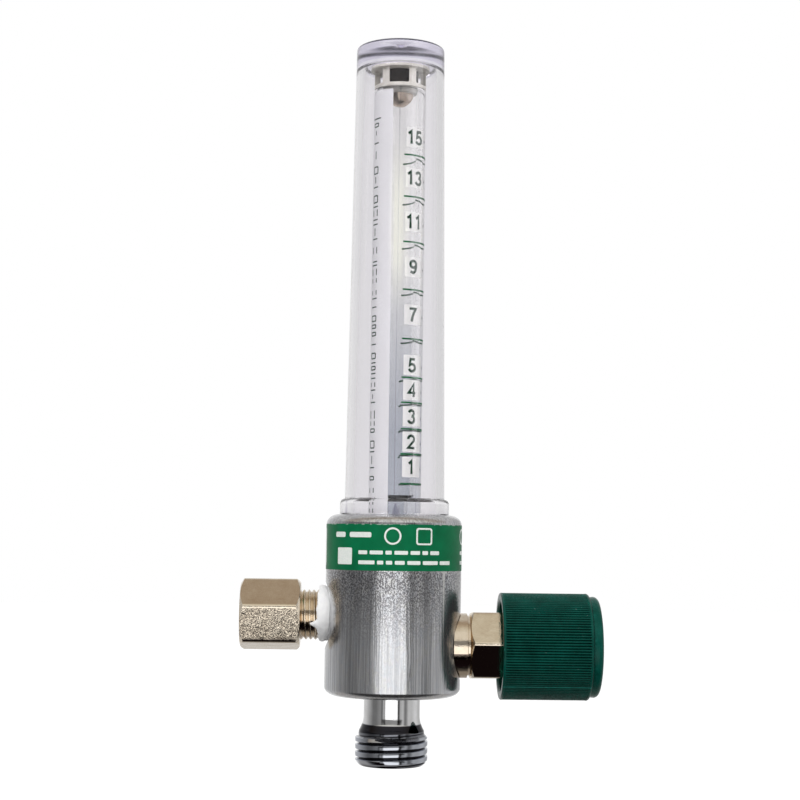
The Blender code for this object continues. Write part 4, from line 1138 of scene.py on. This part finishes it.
def flatShape(points, hole=None):
    # a flat part from its corner points, or an even band round a hole
    part = bmesh.new()
    outer = [part.verts.new((u, v, 0)) for u, v in points]
    if hole is None:
        part.faces.new(outer)
    else:
        inner = [part.verts.new((u, v, 0)) for u, v in hole]
        for index in range(len(outer)):
            after = (index + 1) % len(outer)
            part.faces.new((outer[index], outer[after], inner[after], inner[index]))
    return part


def roundBox(left, low, right, high, corner=0.0):
    if corner == 0:
        return [(left, low), (right, low), (right, high), (left, high)]
    left, low, right, high = left + corner, low + corner, right - corner, high - corner
    points = []
    for turn, (cu, cv) in enumerate(((right, high), (left, high), (left, low), (right, low))):
        points += bend(cu, cv, corner, corner, 90 * turn, 90 * turn + 90, 4)
    return points


def plate(left, low, right, high, corner=0.0):
    return flatShape(roundBox(left, low, right, high, corner))


def bar(left, right, middle, tall, corner=0.0):
    return plate(left, middle - tall / 2, right, middle + tall / 2, corner)


def frameShape(left, low, right, high, width, corners):
    hole = roundBox(left + width, low + width, right - width, high - width, corners[1])
    return flatShape(roundBox(left, low, right, high, corners[0]), hole)


def ringShape(u, v, outside, inside, count=28):
    outer, inner = (
        [(u + radius * math.cos(t), v + radius * math.sin(t)) for t in evenTurns(count)]
        for radius in (outside, inside)
    )
    return flatShape(outer, inner)


# label, with plain bars and shapes where print stands

labelSet = {
    "low": 9.0,
    "high": labelTop,
    "inside": 13.255,
    "outside": 13.405,
    "seam": 1.2,
    "cornerRound": 0.7,
    "ink": 0.012,
    "bars": ((-13.5, -10.6, 15.8, 1.0), (-9.5, -4.7, 15.8, 1.0)),  # left, right, middle height, height
    "frontRows": ((-7.4, 9.1, 12.45), (-7.4, 12.2, 10.55)),  # left, right, middle height
    "sideRows": ((20.9, 33.0, 15.6), (17.0, 33.0, 12.45), (17.0, 30.0, 10.55)),
    "dashes": (1.2, 1.9, 2.6, 3.4),
    "dashGap": 0.5,
    "dashHeight": 0.72,
    "smallBox": (-12.8, 10.1, -8.9, 13.3, 0.25),
    "frontRing": (-0.55, 15.6, 1.65, 1.3),
    "square": (4.0, 13.95, 7.4, 17.2, 0.32, (0.5, 0.3)),
    "sideRing": (18.4, 15.6, 1.6, 1.2),
    "sideBox": (-30.5, 9.75, -19.0, 17.05, 0.4),
}


def dashRow(left, right, height):
    s = labelSet
    row = []
    while left < right - 0.8:
        long = min(dice.choice(s["dashes"]), right - left)
        row.append(bar(left, left + long, height, s["dashHeight"], 0.16))
        left += long + s["dashGap"]
    return row


def makeLabel():
    s = labelSet
    outside = s["outside"]
    half = math.pi * outside - s["seam"] / 2
    film = plate(-half, s["low"], half, s["high"], s["cornerRound"])
    sink = outside - s["inside"]
    wrappedSheet("labelFilm", outside, 0.0, [film], "label", node="body_label", sink=sink, step=0.5)
    marks = [bar(*values, 0.3) for values in s["bars"]]
    for row in s["frontRows"]:
        marks += dashRow(*row)
    marks += [plate(*s["smallBox"]), ringShape(*s["frontRing"]), frameShape(*s["square"])]
    marks += [ringShape(*s["sideRing"]), plate(*s["sideBox"])]
    for row in s["sideRows"]:
        marks += dashRow(*row)
    wrappedSheet("labelMarks", outside, s["ink"], marks, "labelInk")
    print("stage: label")


makeLabel()


# inlet adapter and tape

inletSet = {
    "end": -29.9,  # from the body axis
    "hexEnd": -18.2,
    "roll": 15.0,
    "threadRadius": 4.9,
    "threadEnd": -14.4,
    "threadDepth": 0.42,
    "pitch": 0.94,
    "tip": -5.0,
    "bore": 2.1,
    "socketRadius": 4.35,
    "socketDepth": 9.6,
    "countersink": 0.5,
}

tapeSet = {
    "start": (-14.4, 0.6),  # left edge at the top, and how much further out it starts at the front
    "lap": (-13.45, 1.1),  # where the outer turns end, at the top and how much further in at the front
    "end": -11.25,
    "inside": 4.93,
    "edge": (0.12, 0.2),  # thickness of the left edge, and of the turns next to it
    "outer": 0.62,
    "inner": 0.4,
    "ragged": 0.2,
    "lapRagged": 0.12,
    "tailTurn": 112.0,
    "tailWidth": 6.0,
    "tailLength": 1.2,
    "wrinkle": 0.03,
    "ripple": 0.02,
    "lift": 0.3,  # it is a little thicker at the top
}

# one turn of each thread, as share of the pitch and share of the depth
vThread = [
    (0.0, 1.0), (0.08, 1.0), (0.4, 0.08), (0.46, 0.0), (0.6, 0.0), (0.66, 0.08), (0.98, 1.0), (1.0, 1.0),
]
outletThread = [
    (0.0, 1.0), (0.06, 1.0), (0.2, 0.2), (0.25, 0.05), (0.33, 0.0), (0.75, 0.0), (0.83, 0.05), (0.88, 0.2),
    (1.0, 1.0),
]


def makeInlet():
    s = inletSet
    end, hexEnd, tip = s["end"], s["hexEnd"], s["tip"]
    neck, wide = s["threadRadius"], s["socketRadius"]
    socket = end + s["socketDepth"]
    face = hexSet["chamfer"][1]
    sink = s["countersink"]

    def outlineAt(turn):
        outline = [(tip, s["bore"]), (socket, s["bore"]), (socket, wide), (end + sink, wide)]
        outline += [(end, wide + sink), (end, face - 0.08), (end + 0.05, face)]
        outline += hexSides(turn, s["roll"], end, hexEnd) + [(hexEnd + 0.1, neck + 0.1)]
        outline += threadRun(turn, hexEnd + 0.2, s["threadEnd"], s, vThread)
        return outline + [(tip - 0.5, neck), (tip, neck - 0.5)]

    turns = hexTurns(s["roll"])
    turns.append(turns[0] + 2 * math.pi)
    mesh = skinMesh(inletAxis, turns, outlineAt, 24.0, wrap=False)
    addPiece("inletFitting", mesh, "fitting", node="inlet_adapter")
    print("stage: inlet fitting")


def makeTape():
    s = tapeSet
    inside, outer, inner = s["inside"], s["outer"], s["inner"]

    def outlineAt(turn):
        def rough(size, lane, scale=1.0):
            spot = Vector((math.cos(turn) * scale, math.sin(turn) * scale, lane))
            return size * noise.noise(spot)

        front = abs(math.sin(turn))
        tail = (math.degrees(turn) - s["tailTurn"]) / s["tailWidth"]
        start = s["start"][0] - s["start"][1] * front - s["tailLength"] * math.exp(-(tail**2))
        start += rough(s["ragged"], 1.3, 4.0) + rough(s["ragged"] / 2, 7.7, 14.0)
        lap = s["lap"][0] + s["lap"][1] * front + rough(s["lapRagged"], 3.1, 2.5)
        thin, swollen = s["edge"]
        outline = [(start, inside), (start, inside + thin)]
        steps = 14
        for step in range(1, steps):  # outer turns, swollen in the middle
            share = step / steps
            along = start + (lap - start) * share
            high = swollen + (outer - swollen) * math.sin(math.pi * (0.12 + 0.74 * share)) ** 0.7
            outline.append((along, inside + high + rough(s["wrinkle"], along * 3.1, 3.0)))
        outline.append((lap, inside + outer * 0.75))
        lap += 0.04
        outline.append((lap, inside + inner))
        for step in range(1, 9):  # inner turns, which go into the thread
            along = lap + (s["end"] - lap) * step / 9
            high = inner + rough(s["wrinkle"], along * 3.1, 3.0) + s["ripple"] * math.sin(along * 9.0)
            outline.append((along, inside + high))
        return outline + [(s["end"], inside + inner), (s["end"], inside)]

    mesh = skinMesh(("x", bodyX, s["lift"]), evenTurns(216), outlineAt, 60.0)
    addPiece("wrappedTape", mesh, "tape", node="thread_tape", weighted=False)
    print("stage: tape")


makeInlet()
makeTape()


# bonnet

bonnetSet = {
    "tip": 8.31,
    "tipRadius": 5.0,
    "seat": 11.7,
    "collarEnd": 14.6,
    "collarRadius": 6.35,
    "neckRadius": 5.87,
    "hexStart": 15.1,
    "hexEnd": 24.5,
    "roll": 24.0,
    "bore": 3.1,
    "threadBore": 3.7,
    "threadBoreEnd": 14.0,
}


def makeBonnet():
    s = bonnetSet
    tip, wide, neck, bore = s["tip"], s["tipRadius"], s["neckRadius"], s["bore"]
    start, stop = s["hexStart"], s["hexEnd"]

    def outlineAt(turn):
        outline = [(tip, s["threadBore"]), (tip, wide - 0.2), (tip + 0.2, wide), (s["seat"], wide)]
        outline += arc(s["seat"] + 0.15, s["collarRadius"] - 0.15, 0.15, 0.15, -90, 0, 3)
        outline += arc(s["collarEnd"] - 0.12, s["collarRadius"] - 0.12, 0.12, 0.12, 0, 90, 3)
        outline += [(s["collarEnd"] + 0.05, neck), (start - 0.08, neck), (start, hexSet["chamfer"][1])]
        outline += hexSides(turn, s["roll"], start, stop)
        outline += [(stop, bore + 0.25), (stop - 0.25, bore), (s["threadBoreEnd"], bore)]
        return outline + [(s["threadBoreEnd"], s["threadBore"])]

    mesh = skinMesh(valveAxis, hexTurns(s["roll"]), outlineAt, 24.0)
    addPiece("bonnetNut", mesh, "fitting", node="bonnet")
    print("stage: bonnet")


makeBonnet()


# knob and cap

knobSet = {
    "face": 21.05,
    "end": 38.55,
    "radius": 10.45,
    "bead": 0.3,
    "ribs": 120,
    "ribSpan": (21.5, 37.95),
    "ribDepth": 0.3,
    "relief": 0.04,
    "shoulder": (0.6, 0.6),
    "bore": 8.8,
    "web": [(33.05, 8.8), (33.05, 2.3), (25.55, 2.3), (25.55, 4.4), (25.65, 4.5), (31.05, 4.5), (31.05, 8.8)],
    "faceBevel": (0.4, 0.04, 9.15),
}

capSet = {
    "plug": [(39.05, 0.0), (39.05, 7.6), (35.2, 7.6), (35.2, 8.7), (38.6, 8.7), (38.6, 9.75)],
    "face": 40.45,
    "radius": 9.87,
    "edge": 1.0,
    "dish": (7.6, 7.35, 0.1),  # radius of its rim and of its floor, and depth
}

ribCut = [0.0, 0.0, 0.0, 0.2, 0.85, 1.0, 0.85, 0.2]


def makeKnob():
    s = knobSet
    columns = s["ribs"] * len(ribCut)
    face, end, radius, bead, bore = (s[key] for key in ("face", "end", "radius", "bead", "bore"))
    start, stop = s["ribSpan"]
    long, deep = s["shoulder"]
    inner, outer, mouth = s["faceBevel"]

    def outlineAt(turn):
        cut = ribCut[round(turn / (2 * math.pi) * columns) % len(ribCut)] * s["ribDepth"] + s["relief"]
        half, foot = radius - cut * 0.45, radius - cut
        outline = arc(face + bead, radius - bead, bead, bead, -90, 0, 7)
        outline += [(start - 0.1, radius), (start + 0.02, half), (start + 0.2, foot)]
        outline += [(stop - 0.2, foot), (stop - 0.02, half), (stop + 0.06, radius - 0.01)]
        outline += arc(end - long + 0.1, radius - deep, long - 0.1, deep, 0, 90, 7)
        outline += [(end, bore + 0.1), (end - 0.1, bore)] + s["web"]
        return outline + [(face + inner, bore), (face + outer, mouth)]

    mesh = skinMesh(valveAxis, evenTurns(columns), outlineAt, 35.0)
    addPiece("ribbedKnob", mesh, "knob", "valve", "knob")


def makeCap():
    s = capSet
    rim, floor, depth = s["dish"]
    outline = s["plug"] + arc(s["face"] - s["edge"], s["radius"] - s["edge"], s["edge"], s["edge"], 0, 90, 8)
    outline += [(s["face"], rim), (s["face"] - depth, floor), (s["face"] - depth, 0.0)]
    addPiece("capDisc", turnedMesh(valveAxis, outline, 144, False, 35.0), "knob", "valve", "knob_cap")


makeKnob()
makeCap()
print("stage: knob and cap")


# outlet nipple

nippleSet = {
    "top": -15.55,
    "neck": 5.53,
    "flare": (-19.4, -22.4),
    "land": (6.46, -23.2, -23.6),  # radius of the first turn, and where the full thread begins
    "threadRadius": 7.12,
    "threadDepth": 0.72,
    "pitch": 1.411,
    "end": -28.95,
    "chamfer": 0.9,
    "mouth": 4.4,
    "bore": 2.4,
    "boreCone": (-20.95, -22.95),
    "spigot": 4.6,
    "spigotTop": -11.2,
    "ringGroove": (-14.02, -12.68, 3.5),
}


def clamped(value):
    return min(max(value, 0.0), 1.0)


def makeNipple():
    s = nippleSet
    top, low = s["flare"]
    end, crest, bore, mouth, wide = (s[key] for key in ("end", "threadRadius", "bore", "mouth", "spigot"))
    grooveLow, grooveHigh, grooveRadius = s["ringGroove"]

    def envelope(along):
        fromEnd = crest - s["chamfer"] + (along - end)
        land, landEnd, full = s["land"]
        flare = s["neck"] + (land - s["neck"]) * clamped((top - along) / (top - low)) ** 2
        rise = clamped((landEnd - along) / (landEnd - full))
        return min(fromEnd, flare + (crest - land) * rise)

    def outlineAt(turn):
        outline = [(end, mouth + 0.3), (end, envelope(end) - 0.05), (end + 0.05, envelope(end + 0.05))]
        outline += threadRun(turn, end + 0.35, low + 0.2, s, outletThread, envelope)
        for step in range(1, 9):
            along = low + 0.2 + (top - low - 0.2) * step / 8
            outline.append((along, envelope(along)))
        outline += [(s["top"], s["neck"]), (s["top"], wide), (grooveLow, wide), (grooveLow, grooveRadius)]
        outline += [(grooveHigh, grooveRadius), (grooveHigh, wide), (s["spigotTop"] - 0.1, wide)]
        outline += [(s["spigotTop"], wide - 0.1), (s["spigotTop"], bore), (s["boreCone"][0], bore)]
        return outline + [(s["boreCone"][1], mouth), (end + 0.3, mouth)]

    mesh = skinMesh(flowAxis, evenTurns(160) + [2 * math.pi], outlineAt, 32.0, wrap=False)
    addPiece("threadedOutlet", mesh, "nipple", node="outlet_nipple")
    print("stage: outlet nipple")


makeNipple()


# clear cover, flow tube, ball stop and ball

coverSet = {
    "spigotEnd": 12.9,
    "ringGroove": (15.855, 16.895, 9.05),
    "shoulder": 19.85,
    "flange": (10.8, 3.0, 1.0),  # radius, height, rounding
    "footRadius": 9.85,
    "topRadius": 8.85,
    "top": 113.8,
    "edge": 0.5,
    "wall": 1.5,
    "ceiling": 109.75,
    "fillet": 0.9,
    "gate": (0.8, 0.3),  # radius and depth of the small mark in the top
}

tubeSet = {
    "radius": 5.17,
    "low": 7.35,
    "high": 105.0,
    "ringGroove": (9.33, 10.57, 4.17),
    "seat": 22.5,
    "footBore": 1.9,
    "lowBore": 2.95,
    "highBore": 3.55,
}

stopSet = {
    "low": 105.05,
    "windows": (105.75, 108.95),
    "top": 109.7,
    "flange": 5.9,
    "wall": 1.1,
    "hole": 2.45,
    "mouth": 2.88,
    "mouthLow": 104.1,
    "spigotRadius": 3.45,
    "spigotLength": 0.8,
    "windowWidth": 3.8,
    "windowTurn": -4.0,
    "bumper": (106.3, 3.6, 2.5),  # low end, outer and inner radius of the dark sleeve round the ball's top, which paints the shade inside the stop
}

ballSet = {"radius": 2.78, "height": 104.5245}


def ringGroove(values, radius):
    low, high, floor = values["ringGroove"]
    return [(low, radius), (low, floor), (high, floor), (high, radius)]


def makeCover():
    s = coverSet
    wide, flangeHeight, flangeRound = s["flange"]
    foot, top, spigot, shoulder = s["footRadius"], s["top"], s["spigotEnd"], s["shoulder"]
    edge, fillet = s["edge"], s["fillet"]
    flangeTop = shoulder + flangeHeight
    outside = [(spigot, foot - 0.15), (spigot + 0.15, foot)] + ringGroove(s, foot)
    outside += [(shoulder, foot), (shoulder, wide - 0.15), (shoulder + 0.15, wide)]
    outside += arc(flangeTop - flangeRound, foot + 0.12, flangeRound, wide - foot - 0.12, 0, 90, 8)
    outside += [(flangeTop + 0.1, foot + 0.02)]
    taper = (foot - s["topRadius"]) / (top - flangeTop)
    outside += [(a, foot - taper * (a - flangeTop)) for a in (flangeTop + 0.8, top - edge - 0.6)]
    outside += arc(top - edge, s["topRadius"] - edge, edge, edge, 0, 90, 6)
    gate, deep = s["gate"]
    outside += [(top, gate + 0.1), (top - 0.05, gate), (top - deep, gate - 0.15)]
    outside += [(top - deep, 0.55), (top - 0.12, 0.4), (top - 0.08, 0.0)]
    innerTop, innerFoot = s["topRadius"] - s["wall"], foot - s["wall"]
    low, high = spigot + 0.1, s["ceiling"] - fillet
    lean = (innerFoot - innerTop) / (high - low)
    inside = [(s["ceiling"], 0.0)] + arc(high, innerTop - fillet, fillet, fillet, 90, 0, 6)
    inside += [(a, innerFoot - lean * (a - low)) for a in (high - 0.6, low + 0.8, low)]
    inside += [(spigot, innerFoot + 0.1)]
    mesh = turnedMesh(flowAxis, inside + outside, 160, False)
    addPiece("clearCover", mesh, "cover", node="outer_cover", weighted=False)


def makeTube():
    s = tubeSet
    low, high, wide, bore = s["low"], s["high"], s["radius"], s["highBore"]
    seatEnd = s["seat"] + s["lowBore"] - s["footBore"]
    widen = (bore - s["lowBore"]) / (high - seatEnd)
    outline = [(low, wide - 0.1), (low + 0.1, wide)] + ringGroove(s, wide)
    outline += [(11.2, wide), (high - 0.7, wide), (high - 0.12, wide), (high, wide - 0.12)]
    outline += [(high, bore + 0.05), (high - 0.05, bore)]
    outline += [(a, s["lowBore"] + widen * (a - seatEnd)) for a in (high - 0.7, seatEnd + 0.7, seatEnd)]
    outline += [(s["seat"], s["footBore"]), (low, s["footBore"])]
    addPiece("flowTubeClear", turnedMesh(flowAxis, outline, 128), "tube", node="flow_tube", weighted=False)


def windowCutter(turn, near, far, corners):
    # a prism through the stop's wall; corners are (across, height)
    side = Vector((math.cos(turn), math.sin(turn), 0))
    away = Vector((math.sin(turn), -math.cos(turn), 0))
    shape = bmesh.new()
    rings = []
    for distance in (near, far):
        middle = Vector((bodyX, 0, 0)) + away * distance
        rings.append([shape.verts.new(middle + side * u + Vector((0, 0, v))) for u, v in corners])
        shape.faces.new(rings[-1])
    joinRings(shape, *rings)
    return finishMesh(shape)


def makeStop():
    s = stopSet
    low, high = s["windows"]
    radius, spigot, seat = tubeSet["radius"], s["spigotRadius"], s["low"]
    chamber = radius - s["wall"]
    foot = seat - s["spigotLength"]
    outline = [(high, 0.0), (high, chamber), (low, chamber), (low, s["hole"]), (seat, s["mouth"])]
    outline += [(s["mouthLow"], s["mouth"])]
    outline += eased([(foot, s["mouth"]), (foot, spigot, 0.1), (seat, spigot)])[1:-1]
    flange = [(high, s["flange"], 0.12), (s["top"], s["flange"], 0.12), (s["top"], 0.0)]
    outline += eased([(seat, spigot), (seat, radius, 0.12), (high, radius)] + flange)
    half = s["windowWidth"] / 2
    corners = roundBox(-half, low + 0.05, half, high - 0.05, 0.35)
    turns = [math.radians(s["windowTurn"] + 60 * number) for number in range(6)]
    cutters = [windowCutter(turn, chamber - 1.2, radius + 1.5, corners) for turn in turns]
    mesh = cutMesh(turnedMesh(flowAxis, outline, 128, False), cutters)
    addPiece("ballStop", mesh, "stop", node="ball_stop")
    # a dark sleeve inside the stop's windows: painted shade
    low, wide, narrow = s["bumper"]
    high += 0.02
    sleeve = eased([(low, narrow, 0.2), (low, wide, 0.3), (high, wide), (high, narrow)])
    addPiece("stopShadeSleeve", turnedMesh(flowAxis, sleeve, 96), "bumper")


def makeBall():
    s = ballSet
    outline = arc(s["height"], 0.0, s["radius"], s["radius"], -90, 90, 40)
    mesh = turnedMesh(flowAxis, outline, 80, False)
    addPiece("flowBall", mesh, "ball", "float", "float_ball", weighted=False)


makeCover()
makeTube()
makeStop()
makeBall()
print("stage: cover, tube, stop and ball")


# print on the flow tube

scaleSet = {
    "numbers": (
        ("15", 94.68), ("13", 86.5), ("11", 77.67), ("9", 68.66), ("7", 59.13),
        ("5", 49.12), ("4", 44.22), ("3", 38.99), ("2", 34.01), ("1", 29.06),
    ),
    "ticks": (91.08, 82.7, 73.61, 64.09, 54.31, 46.67, 41.72, 36.53, 31.62, 25.79),
    "halfTicks": (45.74, 40.9, 35.86, 30.9),
    "digitHeight": 2.75,
    "digitStroke": 0.19,  # of the digit's height, like the next one
    "digitAdvance": 0.7,
    "numberTurn": 34.0,
    "patch": (13.5, 63.0, 4.0),  # from and to in degrees, height in mm, like the next four
    "tick": (9.5, 168.0, 0.34),
    "halfTick": (4.0, 8.5, 0.28),
    "sideMark": (65.0, 69.0, 0.3),
    "stripEnd": (-75.0, -46.0, 0.25),
    "stripEndHeight": 98.725,
    "strip": (-118.0, -16.0, 8.2, 104.4),
    "markTurn": -62.0,
    "markSpan": (10.2, 97.0),
    "markLengths": (0.9, 1.3, 1.6),
    "markKinds": ("bar", "box", "pair", "dash"),
    "markGaps": (0.5, 0.6, 0.7, 1.5),
    "markWidth": 1.8,
    "markLine": 0.24,
    "ink": 0.02,
}

digitStrokes = {  # centre lines in a box one high
    "1": [[(0.12, 0.76), (0.24, 0.82), (0.36, 0.95), (0.37, 0.0)]],
    "2": [bend(0.31, 0.69, 0.25, 0.25, 180, -30) + [(0.06, 0.07), (0.6, 0.065)]],
    "3": [bend(0.3, 0.735, 0.21, 0.205, 165, -80), bend(0.29, 0.285, 0.25, 0.24, 85, -165)],
    "4": [[(0.46, 0.0), (0.46, 0.92), (0.05, 0.3), (0.62, 0.3)]],
    "5": [[(0.54, 0.935), (0.17, 0.935), (0.1, 0.49)] + bend(0.29, 0.32, 0.26, 0.26, 118, -160)],
    "7": [[(0.04, 0.935), (0.57, 0.935), (0.38, 0.62), (0.27, 0.3), (0.22, 0.0)]],
    "9": [
        bend(0.3, 0.69, 0.24, 0.245, -20, 340, 24),
        [(0.54, 0.72), (0.53, 0.45), (0.46, 0.2), (0.3, 0.06), (0.07, 0.15)],
    ],
}


def ribbon(points, width):
    # a flat band of even width along a broken line
    spots = [Vector(point) for point in points]
    ways = [(after - before).normalized() for before, after in zip(spots, spots[1:])]
    part = bmesh.new()
    edges = []
    for spot, first, last in zip(spots, ways[:1] + ways, ways + ways[-1:]):
        way = (first + last).normalized()
        side = Vector((-way.y, way.x))
        reach = min(1.0 / max(side.dot(Vector((-first.y, first.x))), 0.4), 1.9) * width / 2
        edges.append([part.verts.new((*(spot + side * reach * sign), 0)) for sign in (-1, 1)])
    for first, second in zip(edges, edges[1:]):
        part.faces.new((first[0], second[0], second[1], first[1]))
    return part


def onTube(degrees):
    return math.radians(degrees) * tubeSet["radius"]


def tubeBar(values, height, corner=0.0):
    start, stop, tall = values
    return bar(onTube(start), onTube(stop), height, tall, corner)


def digitShapes(text, height):
    s = scaleSet
    size, advance = s["digitHeight"], s["digitAdvance"]
    shapes = []
    start = -(len(text) * advance - 0.08) / 2
    middle = onTube(s["numberTurn"])
    for index, digit in enumerate(text):
        for line in digitStrokes[digit]:
            shift = start + index * advance
            placed = [(middle + (shift + u) * size, height + (v - 0.5) * size) for u, v in line]
            shapes.append(ribbon(placed, s["digitStroke"] * size))
    return shapes


def stripMarks():
    # a column of small plain shapes up the strip
    s = scaleSet
    marks = []
    middle, line, half = onTube(s["markTurn"]), s["markLine"], s["markWidth"] / 2
    place, end = s["markSpan"]
    while place < end:
        top = place + dice.choice(s["markLengths"])
        kind = dice.choice(s["markKinds"])
        if kind == "bar":
            top = place + line
            marks.append(plate(middle - half, place, middle + half, top, 0.05))
        elif kind == "dash":
            marks.append(plate(middle - line / 2, place, middle + line / 2, top, 0.05))
        elif kind == "pair":
            for side in (-0.85, 0.61):
                marks.append(plate(middle + side, place, middle + side + line, top, 0.05))
        else:
            marks.append(frameShape(middle - half, place, middle + half, top, line, (0.3, 0.12)))
        place = top + dice.choice(s["markGaps"])
    return marks


def makeScale():
    s = scaleSet
    radius, ink = tubeSet["radius"], s["ink"]
    left, right, low, high = s["strip"]
    strip = plate(onTube(left), low, onTube(right), high, 0.2)
    patches = []
    digits = []
    for text, height in s["numbers"]:
        patches.append(tubeBar(s["patch"], height, 0.15))
        digits += digitShapes(text, height)
    ticks = [tubeBar(s["tick"], height) for height in s["ticks"]]
    marks = [tubeBar(s["halfTick"], height) for height in s["halfTicks"]]
    marks += [tubeBar(s["sideMark"], height - 0.35) for text, height in s["numbers"]]
    marks += [tubeBar(s["stripEnd"], s["stripEndHeight"])] + stripMarks()
    over, sink = radius + ink, ink + 0.004
    wrappedSheet("tubeStrip", radius, ink, [strip], "stripInk", step=0.3)
    wrappedSheet("numberPatches", radius, ink, patches, "patchInk", step=0.3)
    wrappedSheet("scaleNumbers", over, ink, digits, "scaleInk", step=0.2)
    wrappedSheet("scaleTicks", over, ink, ticks, "tickInk", sink=sink, step=0.3)
    wrappedSheet("tubeMarks", over, ink, marks, "scaleInk", sink=sink, step=0.3)
    print("stage: print")


makeScale()


# inner parts that stay as they are

innerFinishes = {
    "inlet_filter": "filter",
    "bonnet_seal": "seal",
    "valve_seat": "brass",
    "valve_stem": "brass",
    "stem_o_ring": "seal",
    "knob_washer": "screw",
    "knob_screw": "screw",
    "outlet_o_ring": "seal",
    "cover_o_ring": "seal",
    "flow_tube_o_ring": "seal",
}


def dressInnerParts():
    for node, finish in innerFinishes.items():
        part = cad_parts[node]
        part.data.materials.clear()
        part.data.materials.append(finishes[finish])
    print("stage: inner parts")


dressInnerParts()
